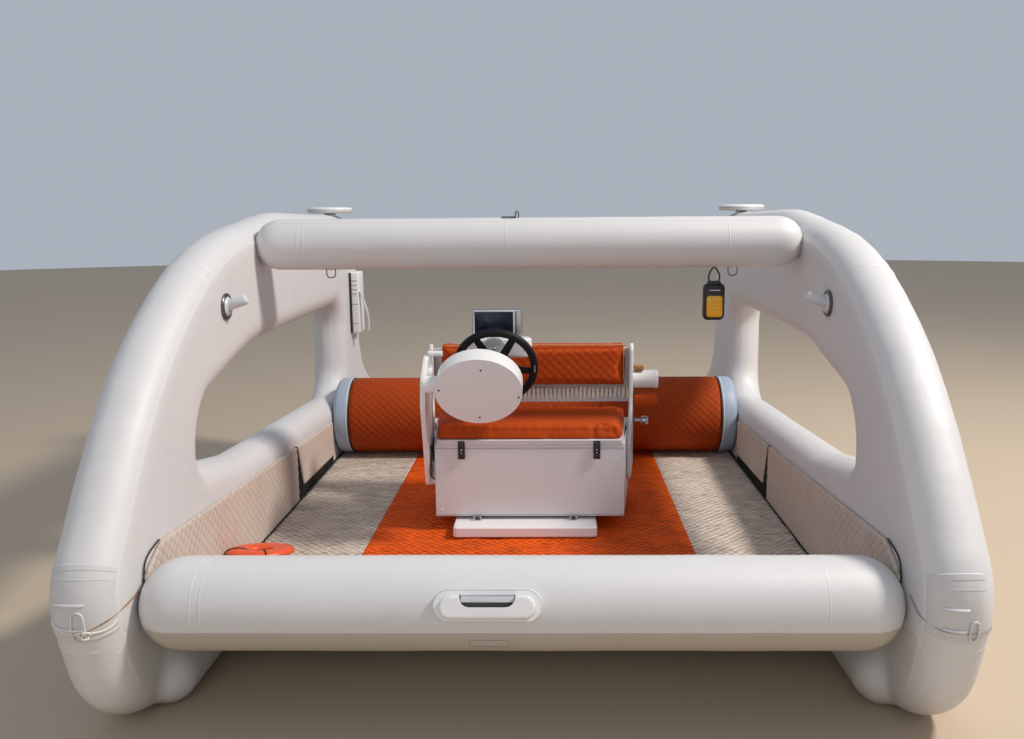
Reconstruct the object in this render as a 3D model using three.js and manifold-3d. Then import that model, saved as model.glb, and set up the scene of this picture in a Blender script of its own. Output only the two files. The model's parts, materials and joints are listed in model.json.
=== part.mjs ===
// Inflatable electric catamaran boat, about 3.75 m long, standing on the bottoms of its two hulls.
// Millimetres, +Z up, bow towards -Y, starboard at -X. Origin: middle of the hulls, at ground level.
import * as THREE from 'three';
import { mergeVertices } from 'three/addons/utils/BufferGeometryUtils.js';
import Module from 'manifold-3d';

const wasm = await Module();
wasm.setup();

// Driving dimensions of the hulls
const SEAT_GAP = 0.3;
const INNER_HALF = 1075;
const SLAB = 190;
const SLAB_FLAT = 10;
const SLAB_EDGE = (SLAB - SLAB_FLAT) / 2;
const FRAME_X = INNER_HALF + SLAB / 2;
const KEEL_RADIUS = 90;
const KEEL_X = 1090;
const KEEL_FRONT_Y = -1520;
const KEEL_REAR_Y = 1740;

// Side frame outline and window, each corner as y, z and the radius that rounds it
const FRAME_OUTLINE = [
  { y: -1760, z: 0, radius: 330 },
  { y: -1905, z: 486, radius: 260 },
  { y: -1476, z: 1066, radius: 1700 },
  { y: -880, z: 1398, radius: 1500 },
  { y: -50, z: 1500, radius: 1500 },
  { y: 1370, z: 1490, radius: 220 },
  { y: 1375, z: 660, radius: 330 },
  { y: 1836, z: 400, radius: 230 },
  { y: 1926.4, z: 0, radius: 200 },
];
const WINDOW_OUTLINE = [
  { y: -1170, z: 652, radius: 50 },
  { y: -720, z: 572, radius: 900 },
  { y: 905, z: 500, radius: 150 },
  { y: 915, z: 1000, radius: 130 },
  { y: -560, z: 975, radius: 1200 },
  { y: -1160, z: 840, radius: 175 },
];

// Cross tubes and bolster
const BOW_TUBE = { y: -1665, z: 385, radius: 131, press: 9 };
const BOW_CHINE = { front: [-130, -18], low: [-25, -137], rear: [70, -137], inside: [0, 0], reach: 140 };
const HANDLE = {
  x: -84,
  raise: THREE.MathUtils.degToRad(20),
  plate: { halfWide: 148, halfTall: 45, depth: 12, edge: 3 },
  body: { halfWide: 130, halfTall: 31, depth: 42, drop: 3, edge: 9 },
  pocket: { half: 74, lip: 12, floor: -18, corner: 28 },
  notch: { half: 77, bottom: -3, corner: 28 },
};
const ROOF_BAR = { y: -452, z: 1367, radius: 100, press: 18 };
const ROOF_DISC = {
  y: 1110,
  z: 1491.83 + SEAT_GAP,
  profile: [[0, 0], [34, 0], [30, 12], [118, 12], [127, 22], [127, 34], [116, 45], [0, 45]],
};
const ARCH_PEG = {
  y: -885,
  z: 1160,
  lift: THREE.MathUtils.degToRad(19),
  flange: [[0, 0], [48, 0], [48, 9], [30, 15], [0, 15]],
  rod: [[0, 8], [19, 8], [19, 78], [14, 84], [0, 84]],
};
const EQUIPMENT_PANEL = { depth: 55, y: [1100, 1240], z: [815, 1170] };
const LANTERN = { x: 745, half: 45, halfDeep: 30, bottom: 1053, top: 1205, strap: 6 };
const BOLSTER = { y: 755, z: 406, radius: 205, cap: 85 };

// Floor
const DECK_BOTTOM = 80;
const DECK_TOP = 185;
const MAT = 15;
const FLOOR_TOP = DECK_TOP + MAT;
const DECK_FRONT_Y = -1215;
const DECK_REAR_Y = 1180;
const BOW_RISE = { y: -1560, z: 330 };
const CENTRE_MAT_HALF = 640;
const EDGING_WIDTH = 14;
const TRANSOM = { y: DECK_REAR_Y + SEAT_GAP, thickness: 36, bottom: 60, top: 470 };

// Quilted wall pads, each corner as y, z and its radius; the fore pads follow the rise of the deck
// A black skirt shows under the aft pad and in the wedge ahead of it
const WALL_PAD = 16;
const WALL_PAD_FORE = [
  { y: DECK_FRONT_Y + 30, z: FLOOR_TOP + SEAT_GAP, radius: 60 },
  { y: -140, z: FLOOR_TOP + SEAT_GAP, radius: 6 },
  { y: -140, z: 452, radius: 12 },
  { y: -1560, z: 532, radius: 60 },
  { y: -1688, z: 462, radius: 60 },
  { y: -1680, z: 345, radius: 30 },
  { y: -1510, z: 388, radius: 30 },
];
const WALL_PAD_AFT = [
  { y: -48, z: 248, radius: 6 },
  { y: 530, z: 236, radius: 6 },
  { y: 530, z: 418, radius: 12 },
  { y: -122, z: 450, radius: 6 },
];
const WALL_SKIRT = 8;
const WALL_SKIRT_OUTLINE = [
  { y: -139.5, z: FLOOR_TOP + SEAT_GAP, radius: 2 },
  { y: 530, z: FLOOR_TOP + SEAT_GAP, radius: 2 },
  { y: 530, z: 235.6, radius: 2 },
  { y: -48.3, z: 247.6, radius: 2 },
  { y: -122.6, z: 449, radius: 2 },
  { y: -139.5, z: 451, radius: 2 },
];

// Flat ring float tied to the starboard wall of the bow, its front edge raised
const FLOAT = {
  x: -940.4,
  y: -1065,
  z: 310,
  radius: 80,
  tube: 38,
  flatness: 0.4,
  lean: THREE.MathUtils.degToRad(11),
};

// Console bench: its sides flare towards the stern
const BASE = { x: -18, half: 290, front: -635, rear: -110, height: 44 };
const RAIL = { x: 197, width: 28, height: 14 };
const BOX = { frontHalf: 386, rearHalf: 446, front: -535, rear: -35, height: 302, wall: 12 };
const FLARE = Math.atan((BOX.rearHalf - BOX.frontHalf) / (BOX.rear - BOX.front));
const BOX_BOTTOM = FLOOR_TOP + BASE.height + RAIL.height + 3 * SEAT_GAP;
const BOX_TOP = BOX_BOTTOM + BOX.height;
const SHELF_FRONT = -150;
const LID = { frontHalf: 378, rearHalf: 424, front: -540, rear: -130, thickness: 18 };
const LID_TOP = BOX_TOP + SEAT_GAP + LID.thickness;
const CUSHION = { frontHalf: 376, rearHalf: 418, front: -530, rear: -148, height: 62 };
const SIDE_PANEL = 18;
const SIDE_PANEL_OUTLINE = [
  { y: -330, z: BOX_BOTTOM + 84, radius: 50 },
  { y: -6, z: BOX_BOTTOM + 78, radius: 40 },
  { y: 20, z: 900, radius: 36 },
  { y: -92, z: 912, radius: 36 },
  { y: -112, z: 620, radius: 90 },
  { y: -330, z: 545, radius: 60 },
];
const BACKREST = { x: 8, half: 412, front: -85, thickness: 70, bottom: 714, top: 909 };
const BACK_BOARD = { thickness: 20, bottom: 632, top: 880 };
const LACING = { y: -28, z: 676.5, height: 55, depth: 24 };
const PANEL_ROOT = BOX.rearHalf + 7;
const LATCH_X = [-276, 273];
const STOWAGE_TUBE = { y: -48, z: 742, radius: 41.7, outer: 572 };
const SIDE_PAD = { y: [-90, -10], z: [622, 680], outer: 572 };
const KNOB = { y: -48, z: 550, outer: 532, stem: 9, head: 20, shoulder: 34, corner: 4 };

// Helm
const TILT = THREE.MathUtils.degToRad(22);
const WHEEL = { x: -128, y: -600, z: 891, radius: 152, grip: 15.5 };
const SPOKES = { width: 40, thickness: 9, degrees: [-8, 60, 120, 188] };
const HUB = { ahead: 20, top: 34, bottom: 28 };
const DRUM = { x: -186, ahead: 80, drop: 15, halfWide: 167, halfTall: 143, depth: 80 };
const ARM = {
  inner: -411,
  thickness: 22,
  lean: THREE.MathUtils.degToRad(2.5),
  foot: { y: [-495, -385], z: [385, 480] },
  boss: [-680, 835],
  outline: [
    { y: -500, z: 372, radius: 50 },
    { y: -365, z: 372, radius: 50 },
    { y: -360, z: 540, radius: 120 },
    { y: -470, z: 700, radius: 200 },
    { y: -500, z: 918, radius: 40 },
    { y: -622, z: 946, radius: 50 },
    { y: -712, z: 860, radius: 50 },
    { y: -700, z: 740, radius: 120 },
    { y: -590, z: 560, radius: 160 },
  ],
};
const THROTTLE = {
  x: -395,
  pivot: [-610, 868],
  knob: [-612, 946],
  boss: { x: [0, 20], radius: 24 },
  stem: { x: 12, radius: 7 },
  grip: { x: [5, 61], radius: 11 },
};
const BRIDGE = { y: -520, z: 820, radius: 20 };
const BINNACLE = { x: -117, y: -515, z: 957, width: 260, height: 78, depth: 80 };
const DISPLAY = { x: -125, y: -485, width: 201, height: 113, depth: 42 };
const SCREEN = { left: 10, right: 37.5, below: 8, above: 12, depth: 3 };

// Outboard drive, stored tilted up behind the transom
const MOTOR_TILT = THREE.MathUtils.degToRad(72);
const TILT_PIVOT = { y: 1262, z: 440 };
const STEER_OFFSET = 70;
const LEG_LENGTH = 440;
const MOTOR = {
  plate: { half: 70, thickness: 14, bottom: 330 },
  ear: { outer: 58, thickness: 12, inset: 4, behind: 22, below: 40, above: 24 },
  pin: { radius: 7, clearance: 0.5 },
  swivel: { half: 40, radius: 18, link: 15 },
  sleeve: { up: 70, down: 90, radius: 30 },
  leg: { up: 110, inset: 10, radius: 16, clearance: 0.9 },
  neck: { up: 165, down: 80, radius: 26 },
  head: { ahead: 40, behind: 60, down: -160, radius: 60 },
  pod: { ahead: 110, behind: 110, down: LEG_LENGTH, radius: 42 },
  hub: { gap: 0.5, end: 160, radius: 26, tip: 14 },
};
const BLADE = {
  width: 38,
  thickness: 8,
  length: 100,
  middle: 68,
  behind: 134,
  pitch: THREE.MathUtils.degToRad(24),
  degrees: [0, 120, 240],
};

// Finishes
const material = (color, roughness, metalness = 0) =>
  new THREE.MeshStandardMaterial({ color, roughness, metalness });
const finish = {
  hull: material(0xe9e9ee, 0.45),
  deck: material(0xd8d8da, 0.55),
  beige: material(0xb8ab9a, 0.85),
  orange: material(0xb8420c, 0.8),
  black: material(0x161617, 0.6),
  cap: material(0xc9ccd4, 0.5),
  board: material(0xd9d6da, 0.35),
  steel: material(0xa9adb2, 0.3, 0.9),
  plastic: material(0xeceaea, 0.35),
  rope: material(0xe3dccb, 0.9),
  screen: material(0x0c1426, 0.15),
  grey: material(0x8d9197, 0.5),
  lantern: material(0x2a2a22, 0.5),
  float: material(0xe8521a, 0.5),
};

const boat = new THREE.Group();

function add(name, geometry, surface) {
  const mesh = new THREE.Mesh(geometry, surface);
  mesh.name = name;
  boat.add(mesh);
  return mesh;
}

// Booleans
function toSolid(geometry) {
  const bare = geometry.clone();
  bare.deleteAttribute('normal');
  bare.deleteAttribute('uv');
  const merged = mergeVertices(bare, 1e-3);
  const mesh = new wasm.Mesh({
    numProp: 3,
    vertProperties: new Float32Array(merged.attributes.position.array),
    triVerts: new Uint32Array(merged.index.array),
  });
  return new wasm.Manifold(mesh);
}

function fromSolid(solid) {
  const mesh = solid.getMesh();
  const geometry = new THREE.BufferGeometry();
  geometry.setAttribute('position', new THREE.BufferAttribute(mesh.vertProperties, 3));
  geometry.setIndex(new THREE.BufferAttribute(mesh.triVerts, 1));
  return geometry;
}

function join(...geometries) {
  const [first, ...rest] = geometries.map(toSolid);
  return fromSolid(rest.reduce((whole, piece) => whole.add(piece), first));
}

function cut(geometry, ...tools) {
  return fromSolid(tools.map(toSolid).reduce((whole, tool) => whole.subtract(tool), toSolid(geometry)));
}

function intersect(one, other) {
  return fromSolid(toSolid(one).intersect(toSolid(other)));
}

// A corner path as points, with every corner rounded by an arc: finer steps for a wider one
const ARC_STEPS = [
  { below: 70, step: THREE.MathUtils.degToRad(23) },
  { below: 1000, step: THREE.MathUtils.degToRad(11) },
  { below: Infinity, step: THREE.MathUtils.degToRad(5) },
];

function roundedPath(corners) {
  const points = [];
  corners.forEach((corner, index) => {
    const before = corners[(index + corners.length - 1) % corners.length];
    const after = corners[(index + 1) % corners.length];
    const here = new THREE.Vector2(corner.y, corner.z);
    const back = new THREE.Vector2(before.y, before.z).sub(here).normalize();
    const ahead = new THREE.Vector2(after.y, after.z).sub(here).normalize();
    const halfAngle = Math.acos(THREE.MathUtils.clamp(back.dot(ahead), -1, 1)) / 2;
    const toCentre = back.clone().add(ahead).normalize();
    const centre = here.clone().addScaledVector(toCentre, corner.radius / Math.sin(halfAngle));
    const start = here.clone().addScaledVector(back, corner.radius / Math.tan(halfAngle)).sub(centre);
    const turn = Math.PI - 2 * halfAngle;
    const side = Math.sign(back.cross(ahead)) || 1;
    const arc = ARC_STEPS.find(({ below }) => corner.radius < below);
    const steps = Math.max(1, Math.ceil(turn / arc.step));
    for (let step = 0; step <= steps; step += 1) {
      const angle = (-side * turn * step) / steps;
      points.push(start.clone().rotateAround(new THREE.Vector2(), angle).add(centre));
    }
  });
  return points;
}

// Local x, y and z of an outline become Y, Z and X of the boat
const ACROSS = new THREE.Matrix4().makeBasis(
  new THREE.Vector3(0, 1, 0),
  new THREE.Vector3(0, 0, 1),
  new THREE.Vector3(1, 0, 0),
);

function profileSlab(corners, holes, xMiddle, thickness, edge = 0, edgeSteps = 5) {
  const shape = new THREE.Shape(roundedPath(corners));
  shape.holes = holes.map((hole) => new THREE.Path(roundedPath(hole)));
  const depth = thickness - 2 * edge;
  const geometry = new THREE.ExtrudeGeometry(shape, {
    depth,
    bevelEnabled: edge > 0,
    bevelThickness: edge,
    bevelSize: edge,
    bevelOffset: -edge,
    bevelSegments: edgeSteps,
  });
  return geometry.translate(0, 0, -depth / 2).applyMatrix4(ACROSS).translate(xMiddle, 0, 0);
}

function box(x, y, z) {
  const size = [x[1] - x[0], y[1] - y[0], z[1] - z[0]];
  return new THREE.BoxGeometry(...size).translate(
    (x[0] + x[1]) / 2, (y[0] + y[1]) / 2, (z[0] + z[1]) / 2);
}

// A slab seen from above: half width at its front and rear, round corners and edges
function planSlab({ frontHalf, rearHalf, front, rear }, z, radius, edge, xMiddle = 0) {
  const corners = [
    { y: -frontHalf, z: front, radius },
    { y: frontHalf, z: front, radius },
    { y: rearHalf, z: rear, radius },
    { y: -rearHalf, z: rear, radius },
  ];
  const geometry = new THREE.ExtrudeGeometry(new THREE.Shape(roundedPath(corners)), {
    depth: z[1] - z[0] - 2 * edge,
    bevelEnabled: edge > 0,
    bevelThickness: edge,
    bevelSize: edge,
    bevelOffset: -edge,
    bevelSegments: 2,
  });
  return geometry.translate(xMiddle, 0, z[0] + edge);
}

function evenPad(half, front, rear) {
  return { frontHalf: half, rearHalf: half, front, rear };
}

function rod(from, to, radius, sides = 16, farRadius = radius) {
  const start = new THREE.Vector3(...from);
  const way = new THREE.Vector3(...to).sub(start);
  const turn = new THREE.Quaternion().setFromUnitVectors(
    new THREE.Vector3(0, 1, 0), way.clone().normalize());
  return new THREE.CylinderGeometry(farRadius, radius, way.length(), sides)
    .translate(0, way.length() / 2, 0)
    .applyQuaternion(turn)
    .translate(...from);
}

// A turned piece: profile rows of radius and distance along the axis, from axis to axis
function turned(profile, sides, from, direction) {
  const points = profile.map(([radius, along]) => new THREE.Vector2(radius, along));
  const turn = new THREE.Quaternion().setFromUnitVectors(
    new THREE.Vector3(0, 1, 0), new THREE.Vector3(...direction).normalize());
  return new THREE.LatheGeometry(points, sides).applyQuaternion(turn).translate(...from);
}

// A tube with round ends along X or Y, its whole length from start to end
function domedTube(start, end, radius, sides, domeSteps = 5) {
  const length = new THREE.Vector3(...end).distanceTo(new THREE.Vector3(...start));
  const rows = [];
  for (let step = 0; step <= domeSteps; step += 1) {
    const angle = (Math.PI / 2) * (step / domeSteps);
    rows.push([radius * Math.sin(angle), radius * (1 - Math.cos(angle))]);
  }
  for (let step = domeSteps; step >= 0; step -= 1) {
    const angle = (Math.PI / 2) * (step / domeSteps);
    rows.push([radius * Math.sin(angle), length - radius * (1 - Math.cos(angle))]);
  }
  const direction = [end[0] - start[0], end[1] - start[1], end[2] - start[2]];
  return turned(rows, sides, start, direction);
}

const SIDES = [
  { name: 'starboard', sign: -1 },
  { name: 'port', sign: 1 },
];

function span(sign, near, far) {
  return sign > 0 ? [near, far] : [-far, -near];
}

// Hulls: a thick air board with a window, and a keel tube along its inner bottom edge
function keelTube(sign, radius) {
  return domedTube(
    [sign * KEEL_X, KEEL_FRONT_Y - KEEL_RADIUS, KEEL_RADIUS],
    [sign * KEEL_X, KEEL_REAR_Y + KEEL_RADIUS, KEEL_RADIUS], radius, 24);
}

function sideSlab(sign) {
  return profileSlab(FRAME_OUTLINE, [WINDOW_OUTLINE], sign * FRAME_X, SLAB, SLAB_EDGE);
}

function buildSideFrames() {
  for (const { name, sign } of SIDES) {
    add(`side_frame_${name}`, join(sideSlab(sign), keelTube(sign, KEEL_RADIUS)), finish.hull);
  }
}

// Cross tubes are bonded to the frames: their domed ends are pressed flat there
function crossTube({ y, z, radius, press }, sides, margin = 0) {
  const reach = INNER_HALF + press;
  return domedTube([-reach - margin, y, z], [reach + margin, y, z], radius + margin, sides);
}

// The bow tube's underside is a flat strip that faces forward and down
function bowTube(margin = 0) {
  const tube = crossTube(BOW_TUBE, 28, margin);
  const corners = [BOW_CHINE.front, BOW_CHINE.low, BOW_CHINE.rear, BOW_CHINE.inside].map(
    ([y, z]) => ({ y: BOW_TUBE.y + y, z: BOW_TUBE.z + z - margin, radius: 1 }));
  const wedge = profileSlab(corners, [], 0, 4 * INNER_HALF);
  const round = crossTube({ ...BOW_TUBE, radius: BOW_CHINE.reach }, 28, margin);
  return join(tube, intersect(wedge, round));
}

function buildCrossTubes() {
  const frames = SIDES.map(({ sign }) => sideSlab(sign).translate(-sign * SEAT_GAP, 0, 0));
  add('bow_tube', cut(bowTube(), ...frames), finish.hull);
  add('roof_bar', cut(crossTube(ROOF_BAR, 24), ...frames), finish.hull);
}

function buildBolster() {
  const reach = INNER_HALF - SEAT_GAP;
  const middle = reach - BOLSTER.cap - SEAT_GAP;
  add('stern_bolster', rod(
    [-middle, BOLSTER.y, BOLSTER.z], [middle, BOLSTER.y, BOLSTER.z], BOLSTER.radius, 32),
  finish.orange);
  for (const { name, sign } of SIDES) {
    const capProfile = [
      [0, 0], [BOLSTER.radius, 0], [BOLSTER.radius, 60], [BOLSTER.radius - 8, 77],
      [BOLSTER.radius - 28, BOLSTER.cap], [0, BOLSTER.cap],
    ];
    add(`bolster_cap_${name}`, turned(
      capProfile, 32, [sign * (reach - BOLSTER.cap), BOLSTER.y, BOLSTER.z], [sign, 0, 0]),
    finish.cap);
  }
}

// Floor: an air deck whose bow end turns up to the bow tube, with mats and edging on it
function buildFloor() {
  const reach = INNER_HALF - SEAT_GAP;
  const thickness = DECK_TOP - DECK_BOTTOM;
  const profile = [
    { y: DECK_REAR_Y, z: DECK_BOTTOM, radius: 20 },
    { y: DECK_REAR_Y, z: DECK_TOP, radius: 20 },
    { y: DECK_FRONT_Y, z: DECK_TOP, radius: 160 },
    { y: BOW_RISE.y + thickness * 0.35, z: BOW_RISE.z + 40, radius: 30 },
    { y: BOW_RISE.y - 20, z: BOW_RISE.z - 75, radius: 24 },
    { y: DECK_FRONT_Y - 20, z: DECK_BOTTOM, radius: 260 },
  ];
  const slab = profileSlab(profile, [], 0, 2 * reach);
  const tubes = SIDES.map(({ sign }) => keelTube(sign, KEEL_RADIUS + SEAT_GAP));
  add('deck', cut(slab, ...tubes, bowTube(SEAT_GAP)), finish.deck);

  const matZ = [DECK_TOP + SEAT_GAP, FLOOR_TOP];
  const matY = [DECK_FRONT_Y + 90, DECK_REAR_Y - 20];
  const edgeInner = reach - EDGING_WIDTH;
  add('mat_centre', box([-CENTRE_MAT_HALF, CENTRE_MAT_HALF], matY, matZ), finish.orange);
  for (const { name, sign } of SIDES) {
    const sideX = span(sign, CENTRE_MAT_HALF + SEAT_GAP, edgeInner - SEAT_GAP);
    add(`mat_${name}`, box(sideX, matY, matZ), finish.beige);
    const edgeX = span(sign, edgeInner, reach);
    add(`floor_edging_${name}`, box(edgeX, matY, matZ), finish.black);
  }
  const board = box(
    [-reach, reach], [TRANSOM.y, TRANSOM.y + TRANSOM.thickness], [TRANSOM.bottom, TRANSOM.top]);
  add('transom', cut(board, ...tubes), finish.board);
}

function buildWallPads() {
  const reach = INNER_HALF - SEAT_GAP;
  for (const { name: side, sign } of SIDES) {
    const middle = sign * (reach - WALL_PAD / 2);
    const fore = profileSlab(WALL_PAD_FORE, [], middle, WALL_PAD, 5, 1);
    add(`wall_pad_fore_${side}`, cut(fore, bowTube(SEAT_GAP)), finish.beige);
    add(`wall_pad_aft_${side}`, profileSlab(WALL_PAD_AFT, [], middle, WALL_PAD, 5, 1), finish.beige);
    const skirtMiddle = sign * (reach - WALL_SKIRT / 2);
    add(`wall_skirt_${side}`, profileSlab(WALL_SKIRT_OUTLINE, [], skirtMiddle, WALL_SKIRT), finish.black);
  }
}

// Console: base plate, hollow seat box, hinged lid and backrest
function seatBoxBody(margin = 0) {
  const plan = {
    frontHalf: BOX.frontHalf + margin,
    rearHalf: BOX.rearHalf + margin,
    front: BOX.front - margin,
    rear: BOX.rear + margin,
  };
  return planSlab(plan, [BOX_BOTTOM, BOX_TOP], 3, 0);
}

function buildSeatBox() {
  const baseZ = [FLOOR_TOP + SEAT_GAP, FLOOR_TOP + SEAT_GAP + BASE.height];
  add('base_plate', planSlab(evenPad(BASE.half, BASE.front, BASE.rear), baseZ, 18, 6, BASE.x), finish.board);
  const railZ = [baseZ[1] + SEAT_GAP, baseZ[1] + SEAT_GAP + RAIL.height];
  for (const { name, sign } of SIDES) {
    const x = span(sign, RAIL.x - RAIL.width / 2, RAIL.x + RAIL.width / 2).map((side) => side + BASE.x);
    add(`seat_rail_${name}`, box(x, [BOX.front + 4, BOX.rear - 60], railZ), finish.steel);
  }
  const inside = {
    frontHalf: BOX.frontHalf - BOX.wall,
    rearHalf: BOX.rearHalf - BOX.wall,
    front: BOX.front + BOX.wall,
    rear: BOX.rear - BOX.wall,
  };
  const hollow = planSlab(inside, [BOX_BOTTOM + BOX.wall, BOX_TOP - BOX.wall], 3, 0);
  const opening = planSlab({ ...inside, rear: SHELF_FRONT }, [BOX_TOP - 2 * BOX.wall, BOX_TOP + 10], 3, 0);
  const shelfSides = SIDES.map(({ sign }) => box(
    span(sign, inside.frontHalf + (SHELF_FRONT - inside.front) * Math.tan(FLARE), BOX.rearHalf),
    [BOX.front, SHELF_FRONT + 1], [BOX_TOP - 3 * BOX.wall, BOX_TOP + 20]));
  add('seat_box', cut(seatBoxBody(), hollow, cut(opening, ...shelfSides)), finish.board);
  add('battery', box(
    [-20, 300], [BOX.front + 60, BOX.front + 300],
    [BOX_BOTTOM + BOX.wall + SEAT_GAP, BOX_BOTTOM + BOX.wall + 210]), finish.grey);

  add('seat_lid', planSlab(LID, [BOX_TOP + SEAT_GAP, LID_TOP], 4, 0), finish.board);
  const cushionZ = [LID_TOP + SEAT_GAP, LID_TOP + SEAT_GAP + CUSHION.height];
  add('seat_cushion', planSlab(CUSHION, cushionZ, 26, 14), finish.orange);
  LATCH_X.forEach((x, index) => {
    const latchY = [LID.front - SEAT_GAP - 8, LID.front - SEAT_GAP];
    add(`seat_latch_${SIDES[index].name}`, box(
      [x - 14, x + 14], latchY, [LID_TOP - 78, LID_TOP - 2]), finish.black);
  });
}

// A side plate of the console, made on X = 0 and turned to follow the flared side
function sidePanel(sign) {
  const middle = sign * (SEAT_GAP + SIDE_PANEL / 2);
  return profileSlab(SIDE_PANEL_OUTLINE, [], middle, SIDE_PANEL, 4, 1)
    .translate(0, -BOX.front, 0)
    .rotateZ(-sign * FLARE)
    .translate(sign * BOX.frontHalf, BOX.front, 0);
}

function buildBackrest() {
  for (const { name, sign } of SIDES) {
    add(`side_panel_${name}`, sidePanel(sign), finish.board);
  }
  const panels = SIDES.map(({ sign }) => sidePanel(sign).translate(-sign * SEAT_GAP, 0, 0));
  const boardFront = BACKREST.front + BACKREST.thickness + SEAT_GAP;
  const board = box(
    [-PANEL_ROOT, PANEL_ROOT], [boardFront, boardFront + BACK_BOARD.thickness],
    [BACK_BOARD.bottom, BACK_BOARD.top]);
  add('backrest_board', cut(board, ...panels), finish.board);
  const cushion = [
    { y: BACKREST.front, z: BACKREST.bottom, radius: 22 },
    { y: BACKREST.front + BACKREST.thickness, z: BACKREST.bottom, radius: 22 },
    { y: BACKREST.front + BACKREST.thickness, z: BACKREST.top, radius: 22 },
    { y: BACKREST.front, z: BACKREST.top, radius: 22 },
  ];
  add('backrest_cushion', profileSlab(cushion, [], BACKREST.x, 2 * BACKREST.half, 12, 2), finish.orange);
  const lacingY = [LACING.y - LACING.depth / 2, LACING.y + LACING.depth / 2];
  const lacingZ = [LACING.z - LACING.height / 2, LACING.z + LACING.height / 2];
  const lacing = [
    { y: lacingY[0], z: lacingZ[0], radius: 8 },
    { y: lacingY[1], z: lacingZ[0], radius: 8 },
    { y: lacingY[1], z: lacingZ[1], radius: 8 },
    { y: lacingY[0], z: lacingZ[1], radius: 8 },
  ];
  const rail = profileSlab(lacing, [], 0, 2 * PANEL_ROOT);
  add('backrest_lacing', cut(rail, ...panels), finish.rope);

  const portPanel = sidePanel(1).translate(SEAT_GAP, 0, 0);
  add('stowage_tube', cut(rod(
    [PANEL_ROOT, STOWAGE_TUBE.y, STOWAGE_TUBE.z], [STOWAGE_TUBE.outer, STOWAGE_TUBE.y, STOWAGE_TUBE.z],
    STOWAGE_TUBE.radius, 20), portPanel), finish.plastic);
  const padX = [PANEL_ROOT, SIDE_PAD.outer];
  add('side_pad', cut(box(padX, SIDE_PAD.y, SIDE_PAD.z), portPanel), finish.orange);
  const { stem, head, shoulder, corner } = KNOB;
  const length = KNOB.outer - PANEL_ROOT;
  const neck = length - shoulder;
  const profile = [
    [0, 0], [stem, 0], [stem, neck], [head, neck + corner], [head, length - corner], [0, length]];
  const knob = turned(profile, 12, [PANEL_ROOT, KNOB.y, KNOB.z], [1, 0, 0]);
  add('panel_knob', cut(knob, portPanel), finish.steel);
}

// Helm: arm, oval steering drum, wheel, binnacle and display
// The steering axis runs aft and up; a piece made with its axis along Y is tilted onto it
function onShaft(geometry, distance, x = WHEEL.x, drop = 0) {
  return geometry.rotateX(TILT).translate(x, ...shaftPoint(distance, drop));
}

function shaftPoint(distance, drop = 0) {
  return [
    WHEEL.y + Math.cos(TILT) * distance + Math.sin(TILT) * drop,
    WHEEL.z + Math.sin(TILT) * distance - Math.cos(TILT) * drop,
  ];
}

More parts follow.
